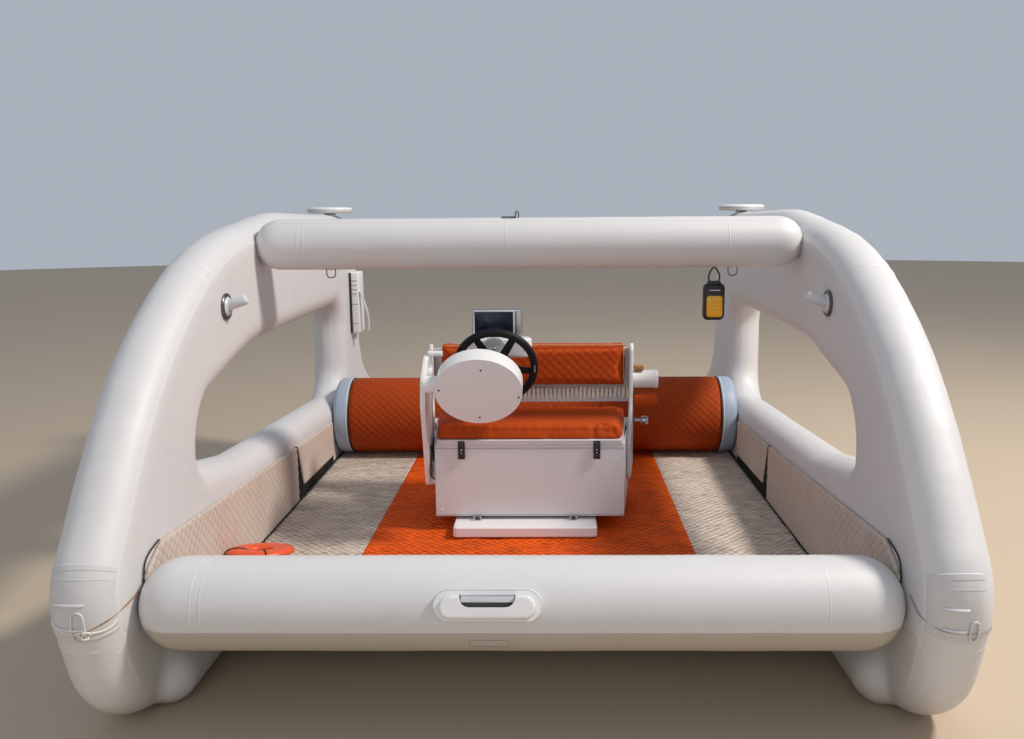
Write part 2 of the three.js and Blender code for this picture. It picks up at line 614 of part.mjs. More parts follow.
function buildHelm() {
  const oval = (margin) => onShaft(
    new THREE.CylinderGeometry(1, 1, DRUM.depth, 36)
      .scale(DRUM.halfWide + margin, 1 + (2 * margin) / DRUM.depth, DRUM.halfTall + margin),
    -DRUM.ahead - DRUM.depth / 2, DRUM.x, DRUM.drop);
  const stub = rod(
    [WHEEL.x, ...shaftPoint(-DRUM.ahead - 5)], [WHEEL.x, ...shaftPoint(-HUB.ahead - SEAT_GAP)], 17, 16);
  add('helm_drum', join(oval(0), stub), finish.plastic);

  const root = ARM.inner + 10;
  const foot = box([ARM.inner - 2, 10 - BOX.frontHalf], ARM.foot.y, ARM.foot.z);
  const boss = rod([root, ...ARM.boss], [DRUM.x, ...ARM.boss], 34, 20);
  const bridge = rod([root, BRIDGE.y, BRIDGE.z], [WHEEL.x, BRIDGE.y, BRIDGE.z], BRIDGE.radius, 12);
  const neck = rod(
    [WHEEL.x, BRIDGE.y, BRIDGE.z],
    [WHEEL.x, BRIDGE.y, BINNACLE.z - BINNACLE.height / 2 - SEAT_GAP], BRIDGE.radius - 4, 12);
  const arm = join(armPlate(), foot, boss, bridge, neck);
  add('helm_arm', cut(arm, oval(SEAT_GAP), seatBoxBody(SEAT_GAP)), finish.plastic);

  const wheelPieces = [
    new THREE.TorusGeometry(WHEEL.radius, WHEEL.grip, 8, 40),
    new THREE.CylinderGeometry(HUB.top, HUB.bottom, 2 * HUB.ahead, 18).rotateX(Math.PI / 2),
  ];
  for (const degrees of SPOKES.degrees) {
    const spoke = new THREE.BoxGeometry(WHEEL.radius, SPOKES.width, SPOKES.thickness)
      .translate(WHEEL.radius / 2, 0, 0);
    wheelPieces.push(spoke.rotateZ(THREE.MathUtils.degToRad(degrees)));
  }
  add('steering_wheel', onShaft(join(...wheelPieces).rotateX(Math.PI / 2), 0), finish.black);

  const binnacleZ = [BINNACLE.z - BINNACLE.height / 2, BINNACLE.z + BINNACLE.height / 2 - SEAT_GAP];
  const binnaclePlan = evenPad(
    BINNACLE.width / 2, BINNACLE.y - BINNACLE.depth / 2, BINNACLE.y + BINNACLE.depth / 2);
  add('binnacle', planSlab(binnaclePlan, binnacleZ, 30, 12, BINNACLE.x), finish.plastic);
  const displayBottom = BINNACLE.z + BINNACLE.height / 2;
  const displayLeft = DISPLAY.x - DISPLAY.width / 2;
  const displayFront = DISPLAY.y - DISPLAY.depth / 2;
  add('display_case', box(
    [displayLeft, displayLeft + DISPLAY.width],
    [displayFront, displayFront + DISPLAY.depth],
    [displayBottom, displayBottom + DISPLAY.height]), finish.steel);
  add('display_screen', box(
    [displayLeft + SCREEN.left, displayLeft + DISPLAY.width - SCREEN.right],
    [displayFront - SEAT_GAP - SCREEN.depth, displayFront - SEAT_GAP],
    [displayBottom + SCREEN.below, displayBottom + DISPLAY.height - SCREEN.above]), finish.screen);
  const { x, pivot, knob, stem, grip } = THROTTLE;
  const across = ([start, end], place, radius, sides) => rod(
    [x + start, ...place], [x + end, ...place], radius, sides);
  const lever = join(
    across(THROTTLE.boss.x, pivot, THROTTLE.boss.radius, 16),
    rod([x + stem.x, ...pivot], [x + stem.x, ...knob], stem.radius, 10),
    across(grip.x, knob, grip.radius, 12));
  add('throttle_lever', cut(lever, armPlate().translate(SEAT_GAP, 0, 0)), finish.plastic);
}

// The side arm of the helm, made upright and leaned inboard about its foot
function armPlate() {
  const foot = ARM.outline[0].z;
  return profileSlab(ARM.outline, [], -ARM.thickness / 2, ARM.thickness, 6, 2)
    .translate(0, 0, -foot)
    .rotateY(ARM.lean)
    .translate(ARM.inner, 0, foot);
}

function buildFittings() {
  add('bow_handle', cut(bowHandle(), bowTube(SEAT_GAP)), finish.plastic);
  const reach = INNER_HALF - SEAT_GAP;
  for (const { name, sign } of SIDES) {
    const root = [sign * reach, ARCH_PEG.y, ARCH_PEG.z];
    const flange = turned(ARCH_PEG.flange, 20, root, [-sign, 0, 0]);
    const peg = turned(ARCH_PEG.rod, 16, root, [-sign * Math.cos(ARCH_PEG.lift), 0, Math.sin(ARCH_PEG.lift)]);
    add(`arch_peg_${name}`, join(flange, peg), finish.grey);
    const foot = [sign * FRAME_X, ROOF_DISC.y, ROOF_DISC.z];
    add(`roof_disc_${name}`, turned(ROOF_DISC.profile, 28, foot, [0, 0, 1]), finish.plastic);
  }
  const panelX = [-reach, -reach + EQUIPMENT_PANEL.depth];
  add('equipment_panel', box(panelX, EQUIPMENT_PANEL.y, EQUIPMENT_PANEL.z), finish.plastic);
  const ring = new THREE.TorusGeometry(FLOAT.radius, FLOAT.tube, 8, 28).scale(1, 1, FLOAT.flatness);
  ring.rotateX(-FLOAT.lean).translate(FLOAT.x, FLOAT.y, FLOAT.z);
  add('float_ring', ring, finish.float);
  add('lantern', lantern(), finish.lantern);
}

// The lantern hangs from the roof bar on a narrow strap
function lantern() {
  const { x, half, halfDeep, bottom, top, strap } = LANTERN;
  const deep = [ROOF_BAR.y - halfDeep, ROOF_BAR.y + halfDeep];
  const barBottom = ROOF_BAR.z - ROOF_BAR.radius - SEAT_GAP;
  return join(
    box([x - half, x + half], deep, [bottom, top]),
    box([x - strap, x + strap], [ROOF_BAR.y - strap / 2, ROOF_BAR.y + strap / 2], [top - strap, barBottom]));
}

// A plate that faces the bow: its outline is in X and Z, and it reaches forward from its rear face
function bowPlate(corners, rear, depth, edge) {
  return new THREE.ExtrudeGeometry(new THREE.Shape(roundedPath(corners)), {
    depth: depth - 2 * edge,
    bevelEnabled: edge > 0,
    bevelThickness: edge,
    bevelSize: edge,
    bevelOffset: -edge,
    bevelSegments: 2,
  }).rotateX(Math.PI / 2).translate(0, rear - edge, 0);
}

function longOval(halfWide, halfTall, drop = 0) {
  const radius = halfTall - 1.5;
  return [
    { y: -halfWide, z: -halfTall - drop, radius },
    { y: halfWide, z: -halfTall - drop, radius },
    { y: halfWide, z: halfTall - drop, radius },
    { y: -halfWide, z: halfTall - drop, radius },
  ];
}

// Lifting handle on the upper front of the bow tube: a pocket behind a low lip takes the fingers
// It is made facing -Y, then rolled up about the tube
function bowHandle() {
  const { plate, body, pocket, notch } = HANDLE;
  const face = -BOW_TUBE.radius;
  const front = face - body.depth;
  const behind = face - 1;
  const top = body.halfTall - body.drop;
  const opening = top + SEAT_GAP;
  const plateShape = longOval(plate.halfWide, plate.halfTall);
  const base = bowPlate(plateShape, face + plate.depth, 2 * plate.depth, plate.edge);
  const block = bowPlate(longOval(body.halfWide, body.halfTall, body.drop), face, body.depth, body.edge);
  const fingers = bowPlate([
    { y: -pocket.half, z: pocket.floor, radius: pocket.corner },
    { y: pocket.half, z: pocket.floor, radius: pocket.corner },
    { y: pocket.half, z: opening, radius: 0.5 },
    { y: -pocket.half, z: opening, radius: 0.5 },
  ], behind, behind - front - pocket.lip, 0);
  const dip = bowPlate([
    { y: -notch.half, z: notch.bottom, radius: notch.corner },
    { y: notch.half, z: notch.bottom, radius: notch.corner },
    { y: notch.half, z: opening, radius: 0.5 },
    { y: -notch.half, z: opening, radius: 0.5 },
  ], behind, behind - front + 1, 0);
  return cut(join(base, block), fingers, dip)
    .rotateX(-HANDLE.raise)
    .translate(HANDLE.x, BOW_TUBE.y, BOW_TUBE.z);
}

// Outboard drive: clamp bracket, tilting swivel, steered leg with pod and propeller
function tiltPoint(along, down) {
  const c = Math.cos(MOTOR_TILT);
  const s = Math.sin(MOTOR_TILT);
  return [0, TILT_PIVOT.y + along * c + down * s, TILT_PIVOT.z + along * s - down * c];
}

// A round bar square to the boat's length, through the tilt pivot
function pivotBar(half, radius, sides) {
  return rod([-half, TILT_PIVOT.y, TILT_PIVOT.z], [half, TILT_PIVOT.y, TILT_PIVOT.z], radius, sides);
}

// A round bar down the steering axis, between two distances below the tilt pivot
function steeringBar(top, bottom, radius) {
  return rod(tiltPoint(STEER_OFFSET, top), tiltPoint(STEER_OFFSET, bottom), radius, 16);
}

// A round body square to the steering axis
function crossBody({ ahead, behind, down, radius }) {
  return rod(tiltPoint(STEER_OFFSET - ahead, down), tiltPoint(STEER_OFFSET + behind, down), radius, 20);
}

function buildMotor() {
  const { plate, ear, pin, swivel, sleeve, leg, neck, head, pod, hub } = MOTOR;
  const rearFace = TRANSOM.y + TRANSOM.thickness + SEAT_GAP;
  const clampY = [rearFace, rearFace + plate.thickness];
  const clamp = box([-plate.half, plate.half], clampY, [plate.bottom, TRANSOM.top]);
  const earY = [rearFace + ear.inset, TILT_PIVOT.y + ear.behind];
  const earZ = [TILT_PIVOT.z - ear.below, TILT_PIVOT.z + ear.above];
  const ears = [-ear.outer, ear.outer - ear.thickness].map((x) => box([x, x + ear.thickness], earY, earZ));
  add('motor_bracket', join(clamp, ...ears, pivotBar(ear.outer, pin.radius, 12)), finish.steel);

  const body = join(
    pivotBar(swivel.half, swivel.radius, 16),
    rod(tiltPoint(0, 0), tiltPoint(STEER_OFFSET, 0), swivel.link, 12),
    steeringBar(-sleeve.up, sleeve.down, sleeve.radius));
  const pinHole = pivotBar(ear.outer + 2, pin.radius + pin.clearance, 12);
  const legHole = steeringBar(-sleeve.up - 10, sleeve.down + 10, leg.radius + leg.clearance);
  add('motor_swivel', cut(body, pinHole, legHole), finish.grey);

  add('motor_leg', join(
    steeringBar(-leg.up, LEG_LENGTH - leg.inset, leg.radius),
    steeringBar(-neck.up, -neck.down, neck.radius),
    crossBody(head),
    crossBody(pod)), finish.grey);

  const hubStart = tiltPoint(STEER_OFFSET + pod.behind + hub.gap, pod.down);
  const hubEnd = tiltPoint(STEER_OFFSET + hub.end, pod.down);
  const blades = BLADE.degrees.map((degrees) => bladeAt(degrees));
  add('propeller', join(rod(hubStart, hubEnd, hub.radius, 16, hub.tip), ...blades), finish.black);
}

function bladeAt(degrees) {
  const middle = tiltPoint(STEER_OFFSET + BLADE.behind, MOTOR.pod.down);
  return new THREE.BoxGeometry(BLADE.width, BLADE.thickness, BLADE.length)
    .rotateZ(BLADE.pitch)
    .translate(0, 0, BLADE.middle)
    .rotateY(THREE.MathUtils.degToRad(degrees))
    .rotateX(MOTOR_TILT)
    .translate(...middle);
}

buildSideFrames();
buildCrossTubes();
buildBolster();
buildFloor();
buildWallPads();
buildSeatBox();
buildBackrest();
buildHelm();
buildFittings();
buildMotor();

export default boat;
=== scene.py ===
"""Inflatable electric boat: the stage, the finishes and the fine pieces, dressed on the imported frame."""

import json
from math import acos, asin, atan2, ceil, copysign, cos, exp, hypot, pi, radians, sin, sqrt, tan, tau

import bmesh
import bpy
from bpy.props import FloatProperty, FloatVectorProperty, IntProperty, PointerProperty
from mathutils import Matrix, Vector, noise
from mathutils.bvhtree import BVHTree

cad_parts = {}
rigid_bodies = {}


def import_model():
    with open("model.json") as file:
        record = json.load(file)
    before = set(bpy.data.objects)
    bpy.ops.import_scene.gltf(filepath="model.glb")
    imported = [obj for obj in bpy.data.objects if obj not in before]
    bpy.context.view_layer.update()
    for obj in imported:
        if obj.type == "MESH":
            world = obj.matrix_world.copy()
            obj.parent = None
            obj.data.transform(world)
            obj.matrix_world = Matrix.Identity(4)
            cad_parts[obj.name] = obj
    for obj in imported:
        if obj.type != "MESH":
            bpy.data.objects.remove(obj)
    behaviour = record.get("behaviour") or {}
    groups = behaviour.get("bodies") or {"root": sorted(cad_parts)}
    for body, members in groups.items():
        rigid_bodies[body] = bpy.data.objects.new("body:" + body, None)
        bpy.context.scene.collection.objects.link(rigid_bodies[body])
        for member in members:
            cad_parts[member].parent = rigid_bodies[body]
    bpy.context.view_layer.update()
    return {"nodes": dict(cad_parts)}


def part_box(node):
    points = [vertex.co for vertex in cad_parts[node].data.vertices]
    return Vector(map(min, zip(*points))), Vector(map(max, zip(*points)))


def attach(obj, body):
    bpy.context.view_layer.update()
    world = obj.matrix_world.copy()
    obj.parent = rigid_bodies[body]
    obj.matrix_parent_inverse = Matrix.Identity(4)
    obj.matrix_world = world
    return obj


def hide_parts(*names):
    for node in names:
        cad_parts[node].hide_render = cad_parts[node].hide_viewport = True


bl_info = {
    "name": "Inflatable electric boat",
    "version": (1, 0, 0),
    "blender": (4, 5, 0),
    "location": "View3D > Sidebar > Boat",
    "description": "Fine pieces and finishes of an inflatable electric boat",
    "category": "Object",
}

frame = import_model()

SIDES = {"starboard": -1, "port": 1}

# The two air frames, in metres: each corner as y, z and the radius that rounds it
FRAME_OUTLINE = (
    (-1.76, 0.0, 0.33),
    (-1.905, 0.486, 0.26),
    (-1.476, 1.066, 1.7),
    (-0.88, 1.398, 1.5),
    (-0.05, 1.5, 1.5),
    (1.37, 1.49, 0.22),
    (1.375, 0.66, 0.33),
    (1.836, 0.4, 0.23),
    (1.9264, 0.0, 0.2),
)
WINDOW_OUTLINE = (
    (-1.17, 0.652, 0.05),
    (-0.72, 0.572, 0.9),
    (0.905, 0.5, 0.15),
    (0.915, 1.0, 0.13),
    (-0.56, 0.975, 1.2),
    (-1.16, 0.84, 0.175),
)
INNER_HALF = 1.075
FRAME_X = 1.17
RIM_RADIUS = 0.09
RIM_FLAT = 0.005

# Cross tubes, helm shaft and drive, as the frame has them
BOW_AXIS = (-1.665, 0.385)
BOW_RADIUS = 0.131
BOW_PRESS = 0.009
BOW_CHINE = ((-0.13, -0.018), (-0.025, -0.137), (0.07, -0.137))
BOW_CHINE_LIMIT = 0.14
ROOF_AXIS = (-0.452, 1.367)
ROOF_RADIUS = 0.1
ROOF_PRESS = 0.018
KEEL_RADIUS = 0.09
KEEL_X = 1.09
KEEL_FRONT = -1.61
KEEL_REAR = 1.83
BOLSTER_AXIS = (0.755, 0.406)
BOLSTER_RADIUS = 0.205
BOLSTER_HALF = 0.9892
BOLSTER_SEAMS = (-0.34, 0.34)
WHEEL_CENTRE = Vector((-0.128, -0.6, 0.891))
WHEEL_TILT = radians(22)
HANDLE_X = -0.084
HANDLE_RAISE = radians(20)
PEG_LIFT = radians(19)
STRIP_DROP = 0.033

# Sheets on the tubes: how far they stand proud, and how far their edges tuck in
SHEET_LIFT = 0.0012
SHEET_TUCK = 0.0004
PATCH_TUCK = 0.0005
TUBE_SIDES = 96

# Console, arch fittings and drive, as the frame has them
BOX_FRONT = -0.535
GAUGE_X = -0.1368
PEG_ROOT = (-0.885, 1.16)
DISC_Y = 1.11
DISC_RADIUS = 0.1264
DRIVE_TILT = radians(72)
DRIVE_PIVOT = Vector((0, 1.262, 0.44))
DRIVE_REACH = 0.44
CHEEK_FLARE = radians(6.84)

# How full a quilted diamond is between its lines: less than 1 keeps the lines narrow
PUFF = 0.4

# Filled while the script runs: finishes by plain name, search trees of the air chambers' skins, node tools
FINISHES = {}
SKINS = {}
TOOLS = {}


def colour_setting(name, description, default):
    return FloatVectorProperty(name=name, description=description, subtype="COLOR", default=default)


def length_setting(name, description, default):
    return FloatProperty(name=name, description=description, subtype="DISTANCE", default=default)


def angle_setting(name, description, degrees):
    return FloatProperty(name=name, description=description, subtype="ANGLE", default=radians(degrees))


def power_setting(name, description, default):
    return FloatProperty(name=name, description=description, unit="POWER", default=default)


class StageSettings(bpy.types.PropertyGroup):
    """Camera, floor and lamps"""
    camera_place: FloatVectorProperty(
        name="Camera place", description="Where the camera stands", subtype="TRANSLATION",
        default=(0.0926, -4.085, 1.458))
    pitch: angle_setting("Pitch", "How far the camera looks down", 9.43)
    yaw: angle_setting("Yaw", "How far the camera turns to starboard", 0.9)
    roll: angle_setting("Roll", "How far the camera leans", 0.4)
    focal: FloatProperty(name="Focal length", description="Focal length in picture widths",
                         default=900 / 1024)
    shift: FloatProperty(name="Shift", description="Sideways shift of the lens", default=-0.0253)
    floor_colour: colour_setting("Floor", "Colour of the floor", (0.52, 0.42, 0.31))
    sky_colour: colour_setting("Surround", "Colour of the light all round", (0.8, 0.88, 1.0))
    sky_strength: FloatProperty(
        name="Surround strength", description="Strength of the light all round", default=0.5)
    key_power: power_setting("Key lamp", "Power of the main lamp", 700.0)
    fill_power: power_setting("Fill lamp", "Power of the soft lamp", 40.0)


class SkinSettings(bpy.types.PropertyGroup):
    """Coated fabric of the air chambers"""
    base: colour_setting("Skin", "Colour of the coated fabric", (0.67, 0.66, 0.66))
    # The underside strip is a real rubbing strip; its darker, warmer colour is painted shade and painted
    # ground bounce
    under: colour_setting("Underside", "Colour of the underside strip, darkened and warmed with painted shade", (0.47, 0.42, 0.36))
    sand: colour_setting("Sand", "Colour of the sand that clings low down", (0.42, 0.3, 0.19))
    grid: length_setting("Skin mesh", "Mesh size of the air chambers", 0.012)
    tape_lift: length_setting("Tape thickness", "How far a tape stands proud", 0.0011)


class ClothSettings(bpy.types.PropertyGroup):
    """Quilted upholstery and mats"""
    orange: colour_setting("Orange", "Colour of the upholstery", (0.46, 0.057, 0.0012))
    beige: colour_setting("Beige", "Colour of the wall covers and side mats", (0.57, 0.48, 0.41))
    pitch: length_setting("Quilt pitch", "Distance between quilting lines", 0.029)
    puff: length_setting("Quilt height", "Height of a quilted diamond", 0.0034)
    mat_pitch: length_setting("Mat pitch", "Distance between the lines pressed into the mats", 0.026)
    pressure: FloatProperty(name="Padding pressure", description="Pressure that swells a cushion",
                            default=4.0)
    steps: IntProperty(name="Padding steps", description="Steps that swell a cushion", default=16)


class FittingSettings(bpy.types.PropertyGroup):
    """Hard fittings"""
    white: colour_setting("White moulding", "Colour of the moulded fittings", (0.78, 0.78, 0.78))
    board: colour_setting("Board", "Colour of the console boards", (0.66, 0.65, 0.66))
    steel: colour_setting("Steel", "Colour of the steel fittings", (0.5, 0.52, 0.55))
    screw_radius: length_setting("Screw", "Radius of a screw head", 0.0045)


# Meshes

def smooth(mesh, sharp):
    """Smooth shading, except at edges sharper than the given degrees."""
    mesh.shade_smooth()
    if sharp < 180.0:
        mesh.set_sharp_from_angle(angle=radians(sharp))


def from_bmesh(name, shape, finish, sharp=40.0):
    """A new object at the origin, with one finish."""
    mesh = bpy.data.meshes.new(name)
    shape.to_mesh(mesh)
    shape.free()
    mesh.materials.clear()
    mesh.materials.append(FINISHES[finish])
    smooth(mesh, sharp)
    piece = bpy.data.objects.new(name, mesh)
    bpy.context.scene.collection.objects.link(piece)
    return piece


def settle(piece, sharp=None):
    """Applies every modifier of a piece."""
    graph = bpy.context.evaluated_depsgraph_get()
    mesh = bpy.data.meshes.new_from_object(piece.evaluated_get(graph), depsgraph=graph)
    materials = [slot.material for slot in piece.material_slots]
    old = piece.data
    piece.modifiers.clear()
    piece.data = mesh
    if not mesh.materials:
        for material in materials:
            mesh.materials.append(material)
    bpy.data.meshes.remove(old)
    mesh.name = piece.name
    if sharp is not None:
        smooth(mesh, sharp)
    return piece


def node_shape(node):
    """A bmesh copy of a frame node, with its loose triangles joined up."""
    shape = bmesh.new()
    shape.from_mesh(frame["nodes"][node].data)
    bmesh.ops.remove_doubles(shape, verts=shape.verts, dist=2e-5)
    return shape


def even_out(piece, grid, rounds=0):
    """Gives a closed piece an even mesh, and softens it by a number of rounds."""
    remesh = piece.modifiers.new("Even skin", "REMESH")
    remesh.mode = "VOXEL"
    remesh.voxel_size = grid
    if rounds:
        soften = piece.modifiers.new("Soft edges", "SMOOTH")
        soften.factor = 0.5
        soften.iterations = rounds
    return settle(piece, 180.0)


def fine_skin(node, name, finish, grid, rounds):
    """An even, smoothed skin over a frame node."""
    return even_out(from_bmesh(name, node_shape(node), finish, 180.0), grid, rounds)


def grid_shape(point, rows, columns, closed="", capped=False):
    """A quad grid from a function of row and column; closed names the ways that run into themselves."""
    shape = bmesh.new()
    points = [[shape.verts.new(point(i, j)) for j in range(columns)] for i in range(rows)]
    for i in range(rows if "rows" in closed else rows - 1):
        for j in range(columns if "columns" in closed else columns - 1):
            k, n = (j + 1) % columns, (i + 1) % rows
            shape.faces.new((points[i][j], points[i][k], points[n][k], points[n][j]))
    if capped:
        for end in (points[0], points[-1]):
            shape.faces.new(end)
    if closed:
        bmesh.ops.recalc_face_normals(shape, faces=shape.faces)
    return shape


def around(count):
    """Evenly spaced angles right round."""
    return [tau * k / count for k in range(count)]


def lathe_shape(profile, origin, axis, sides):
    """A turned shape: profile rows of radius and distance along the axis."""
    turn = Vector((0, 0, 1)).rotation_difference(Vector(axis).normalized())
    origin = Vector(origin)
    shape = bmesh.new()
    rings = []
    for radius, along in profile:
        if radius < 1e-6:
            rings.append([shape.verts.new(origin + turn @ Vector((0, 0, along)))])
            continue
        rings.append([shape.verts.new(origin + turn @ Vector((radius * cos(a), radius * sin(a), along)))
                      for a in around(sides)])
    for lower, upper in zip(rings, rings[1:]):
        for k in range(sides):
            n = (k + 1) % sides
            if len(lower) == 1 and len(upper) == 1:
                continue
            if len(lower) == 1:
                shape.faces.new((lower[0], upper[n], upper[k]))
            elif len(upper) == 1:
                shape.faces.new((lower[k], lower[n], upper[0]))
            else:
                shape.faces.new((lower[k], lower[n], upper[n], upper[k]))
    bmesh.ops.recalc_face_normals(shape, faces=shape.faces)
    return shape


def block_shape(low, high, edge, segments=2):
    """A box with rounded edges."""
    shape = bmesh.new()
    size = Vector(high) - Vector(low)
    middle = (Vector(high) + Vector(low)) / 2
    bmesh.ops.create_cube(shape, size=1.0, matrix=Matrix.Diagonal((*size, 1.0)))
    bmesh.ops.bevel(shape, geom=shape.edges, offset=edge, segments=segments, profile=0.5, affect="EDGES")
    bmesh.ops.transform(shape, matrix=Matrix.Translation(middle), verts=shape.verts)
    return shape


def merge_shapes(shapes):
    """Several bmeshes put into one."""
    whole = bmesh.new()
    for shape in shapes:
        part = bpy.data.meshes.new("part")
        shape.to_mesh(part)
        shape.free()
        whole.from_mesh(part)
        bpy.data.meshes.remove(part)
    return whole


def join_pieces(name, pieces, finish):
    """Several pieces made into one."""
    shapes = []
    for piece in pieces:
        shape = bmesh.new()
        shape.from_mesh(piece.data)
        shapes.append(shape)
        old = piece.data
        bpy.data.objects.remove(piece)
        bpy.data.meshes.remove(old)
    return from_bmesh(name, merge_shapes(shapes), finish)


def smooth_path(points, steps=6):
    """A smooth curve through a few points."""
    points = [Vector(point) for point in points]
    ends = [points[0]] + points + [points[-1]]
    path = []
    for a, b, c, d in zip(ends, ends[1:], ends[2:], ends[3:]):
        for k in range(steps):
            t = k / steps
            path.append(0.5 * (
                2 * b + (c - a) * t + (2 * a - 5 * b + 4 * c - d) * t * t + (3 * b - a - 3 * c + d) * t ** 3))
    path.append(points[-1])
    return path


def finish_piece(piece, slot, *nodes, body="hull"):
    """Puts a piece on its body and hides the nodes it stands for; its slot is not used."""
    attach(piece, body)
    if nodes:
        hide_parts(*nodes)
    return piece


# Outlines of the air frames

def rounded_path(corners):
    """The closed outline of a corner table, as points every few centimetres."""
    arc_step, long_step = radians(6), 0.05
    points = []
    count = len(corners)
    for index, (y, z, radius) in enumerate(corners):
        here = Vector((y, z))
        back = (Vector(corners[index - 1][:2]) - here).normalized()
        ahead = (Vector(corners[(index + 1) % count][:2]) - here).normalized()
        half = acos(max(-1.0, min(1.0, back.dot(ahead)))) / 2
        centre = here + (back + ahead).normalized() * radius / sin(half)
        start = here + back * radius / tan(half) - centre
        turn = pi - 2 * half
        side = 1 if back.x * ahead.y - back.y * ahead.x > 0 else -1
        steps = max(1, ceil(turn / arc_step))
        for step in range(steps + 1):
            angle = -side * turn * step / steps
            points.append(centre + Matrix.Rotation(angle, 2) @ start)
    path = []
    for here, after in zip(points, points[1:] + points[:1]):
        pieces = max(1, ceil((after - here).length / long_step))
        path.extend(here.lerp(after, k / pieces) for k in range(pieces))
    return path


class Rim:
    """The rounded rim of an air frame, measured along its outline and across its thickness."""

    def __init__(self, corners):
        self.path = rounded_path(corners)
        self.marks = [0.0]
        for here, after in zip(self.path, self.path[1:] + self.path[:1]):
            self.marks.append(self.marks[-1] + (after - here).length)
        self.length = self.marks[-1]

    def at(self, along):
        along %= self.length
        index = next(k for k in range(len(self.path)) if self.marks[k + 1] >= along)
        here = self.path[index]
        after = self.path[(index + 1) % len(self.path)]
        share = (along - self.marks[index]) / max(1e-9, self.marks[index + 1] - self.marks[index])
        way = (after - here).normalized()
        before = (here - self.path[index - 1]).normalized()
        later = (self.path[(index + 2) % len(self.path)] - after).normalized()
        way = ((before + way) * (1 - share) + (way + later) * share).normalized()
        return here.lerp(after, share), way

    def nearest(self, y, z):
        """Distance along the outline of its point nearest to y, z."""
        target = Vector((y, z))
        index = min(range(len(self.path)), key=lambda k: (self.path[k] - target).length)
        return self.marks[index]

    def point(self, side, along, across, lift=0.0):
        """A point on the rim: across grows towards the middle of the boat."""
        place, way = self.at(along)
        inward = Vector((way.y, -way.x))
        reach = abs(across)
        sense = -side if across > 0 else side
        quarter = RIM_RADIUS * pi / 2
        if reach <= RIM_FLAT:
            out, depth, lean = reach, 0.0, 0.0
        elif reach <= RIM_FLAT + quarter:
            lean = (reach - RIM_FLAT) / RIM_RADIUS
            out = RIM_FLAT + RIM_RADIUS * sin(lean)
            depth = RIM_RADIUS * (1 - cos(lean))
        else:
            lean = pi / 2
            out = RIM_FLAT + RIM_RADIUS
            depth = RIM_RADIUS + reach - RIM_FLAT - quarter
        out += lift * sin(lean)
        depth -= lift * cos(lean)
        spot = place + inward * depth
        return Vector((side * FRAME_X + sense * out, spot.x, spot.y))


RIM = Rim(FRAME_OUTLINE)
WINDOW = Rim(WINDOW_OUTLINE)


# Geometry node tools

class NodeMaker:
    """Adds nodes to a tree; an input may be a value, a socket or a node whose first output it takes."""

    def node(self, kind, inputs=(), **settings):
        node = self.tree.nodes.new(kind)
        for key, value in settings.items():
            setattr(node, key, value)
        for key, value in dict(inputs).items():
            if isinstance(value, bpy.types.Node):
                value = value.outputs[0]
            if isinstance(value, bpy.types.NodeSocket):
                self.tree.links.new(value, node.inputs[key])
            else:
                node.inputs[key].default_value = value
        return node


class NodeTool(NodeMaker):
    """A geometry node tree with named inputs."""

    def __init__(self, name, **inputs):
        self.tree = bpy.data.node_groups.new(name, "GeometryNodeTree")
        face = self.tree.interface
        face.new_socket("Geometry", in_out="INPUT", socket_type="NodeSocketGeometry")
        self.ids = {}
        for label, value in inputs.items():
            kind = {int: "Int", float: "Float", tuple: "Vector"}[type(value)]
            socket = face.new_socket(label, in_out="INPUT", socket_type=f"NodeSocket{kind}")
            socket.default_value = value
            self.ids[label] = socket.identifier
        material = face.new_socket("Material", in_out="INPUT", socket_type="NodeSocketMaterial")
        self.ids["Material"] = material.identifier
        face.new_socket("Geometry", in_out="OUTPUT", socket_type="NodeSocketGeometry")
        self.start = self.tree.nodes.new("NodeGroupInput")
        self.end = self.tree.nodes.new("NodeGroupOutput")

    def given(self, label):
        return self.start.outputs[label]

    def finish(self, geometry):
        """Every tree ends with real geometry and its material."""
        real = self.node("GeometryNodeRealizeInstances", {"Geometry": geometry})
        dressed = self.node("GeometryNodeSetMaterial", {"Geometry": real, "Material": self.given("Material")})
        self.tree.links.new(dressed.outputs["Geometry"], self.end.inputs["Geometry"])
        return self

    def make(self, name, mesh, finish, values, sharp=40.0):
        """Runs the tree on a mesh and keeps the result as a plain piece."""
        piece = bpy.data.objects.new(name, mesh)
        bpy.context.scene.collection.objects.link(piece)
        modifier = piece.modifiers.new("Tool", "NODES")
        modifier.node_group = self.tree
        modifier[self.ids["Material"]] = FINISHES[finish]
        for label, value in values.items():
            modifier[self.ids[label]] = value
        settle(piece, sharp)
        piece.data.materials.clear()
        piece.data.materials.append(FINISHES[finish])
        return piece


def path_mesh(paths, closed=False):
    """Loose edges along one or more paths."""
    mesh = bpy.data.meshes.new("path")
    points, edges = [], []
    for path in paths:
        first = len(points)
        points.extend(tuple(point) for point in path)
        edges.extend((first + k, first + k + 1) for k in range(len(path) - 1))
        if closed:
            edges.append((first + len(path) - 1, first))
    mesh.from_pydata(points, edges, [])
    return mesh


def make_piping_tool():
    """A round section swept along every path: piping, cords, rods and wire."""
    tool = NodeTool("Piping", Radius=0.003, Sides=10)
    curve = tool.node("GeometryNodeMeshToCurve", {"Mesh": tool.given("Geometry")})
    section = tool.node("GeometryNodeCurvePrimitiveCircle", {
        "Resolution": tool.given("Sides"), "Radius": tool.given("Radius")})
    return tool.finish(tool.node("GeometryNodeCurveToMesh", {
        "Curve": curve, "Profile Curve": section, "Fill Caps": True}))


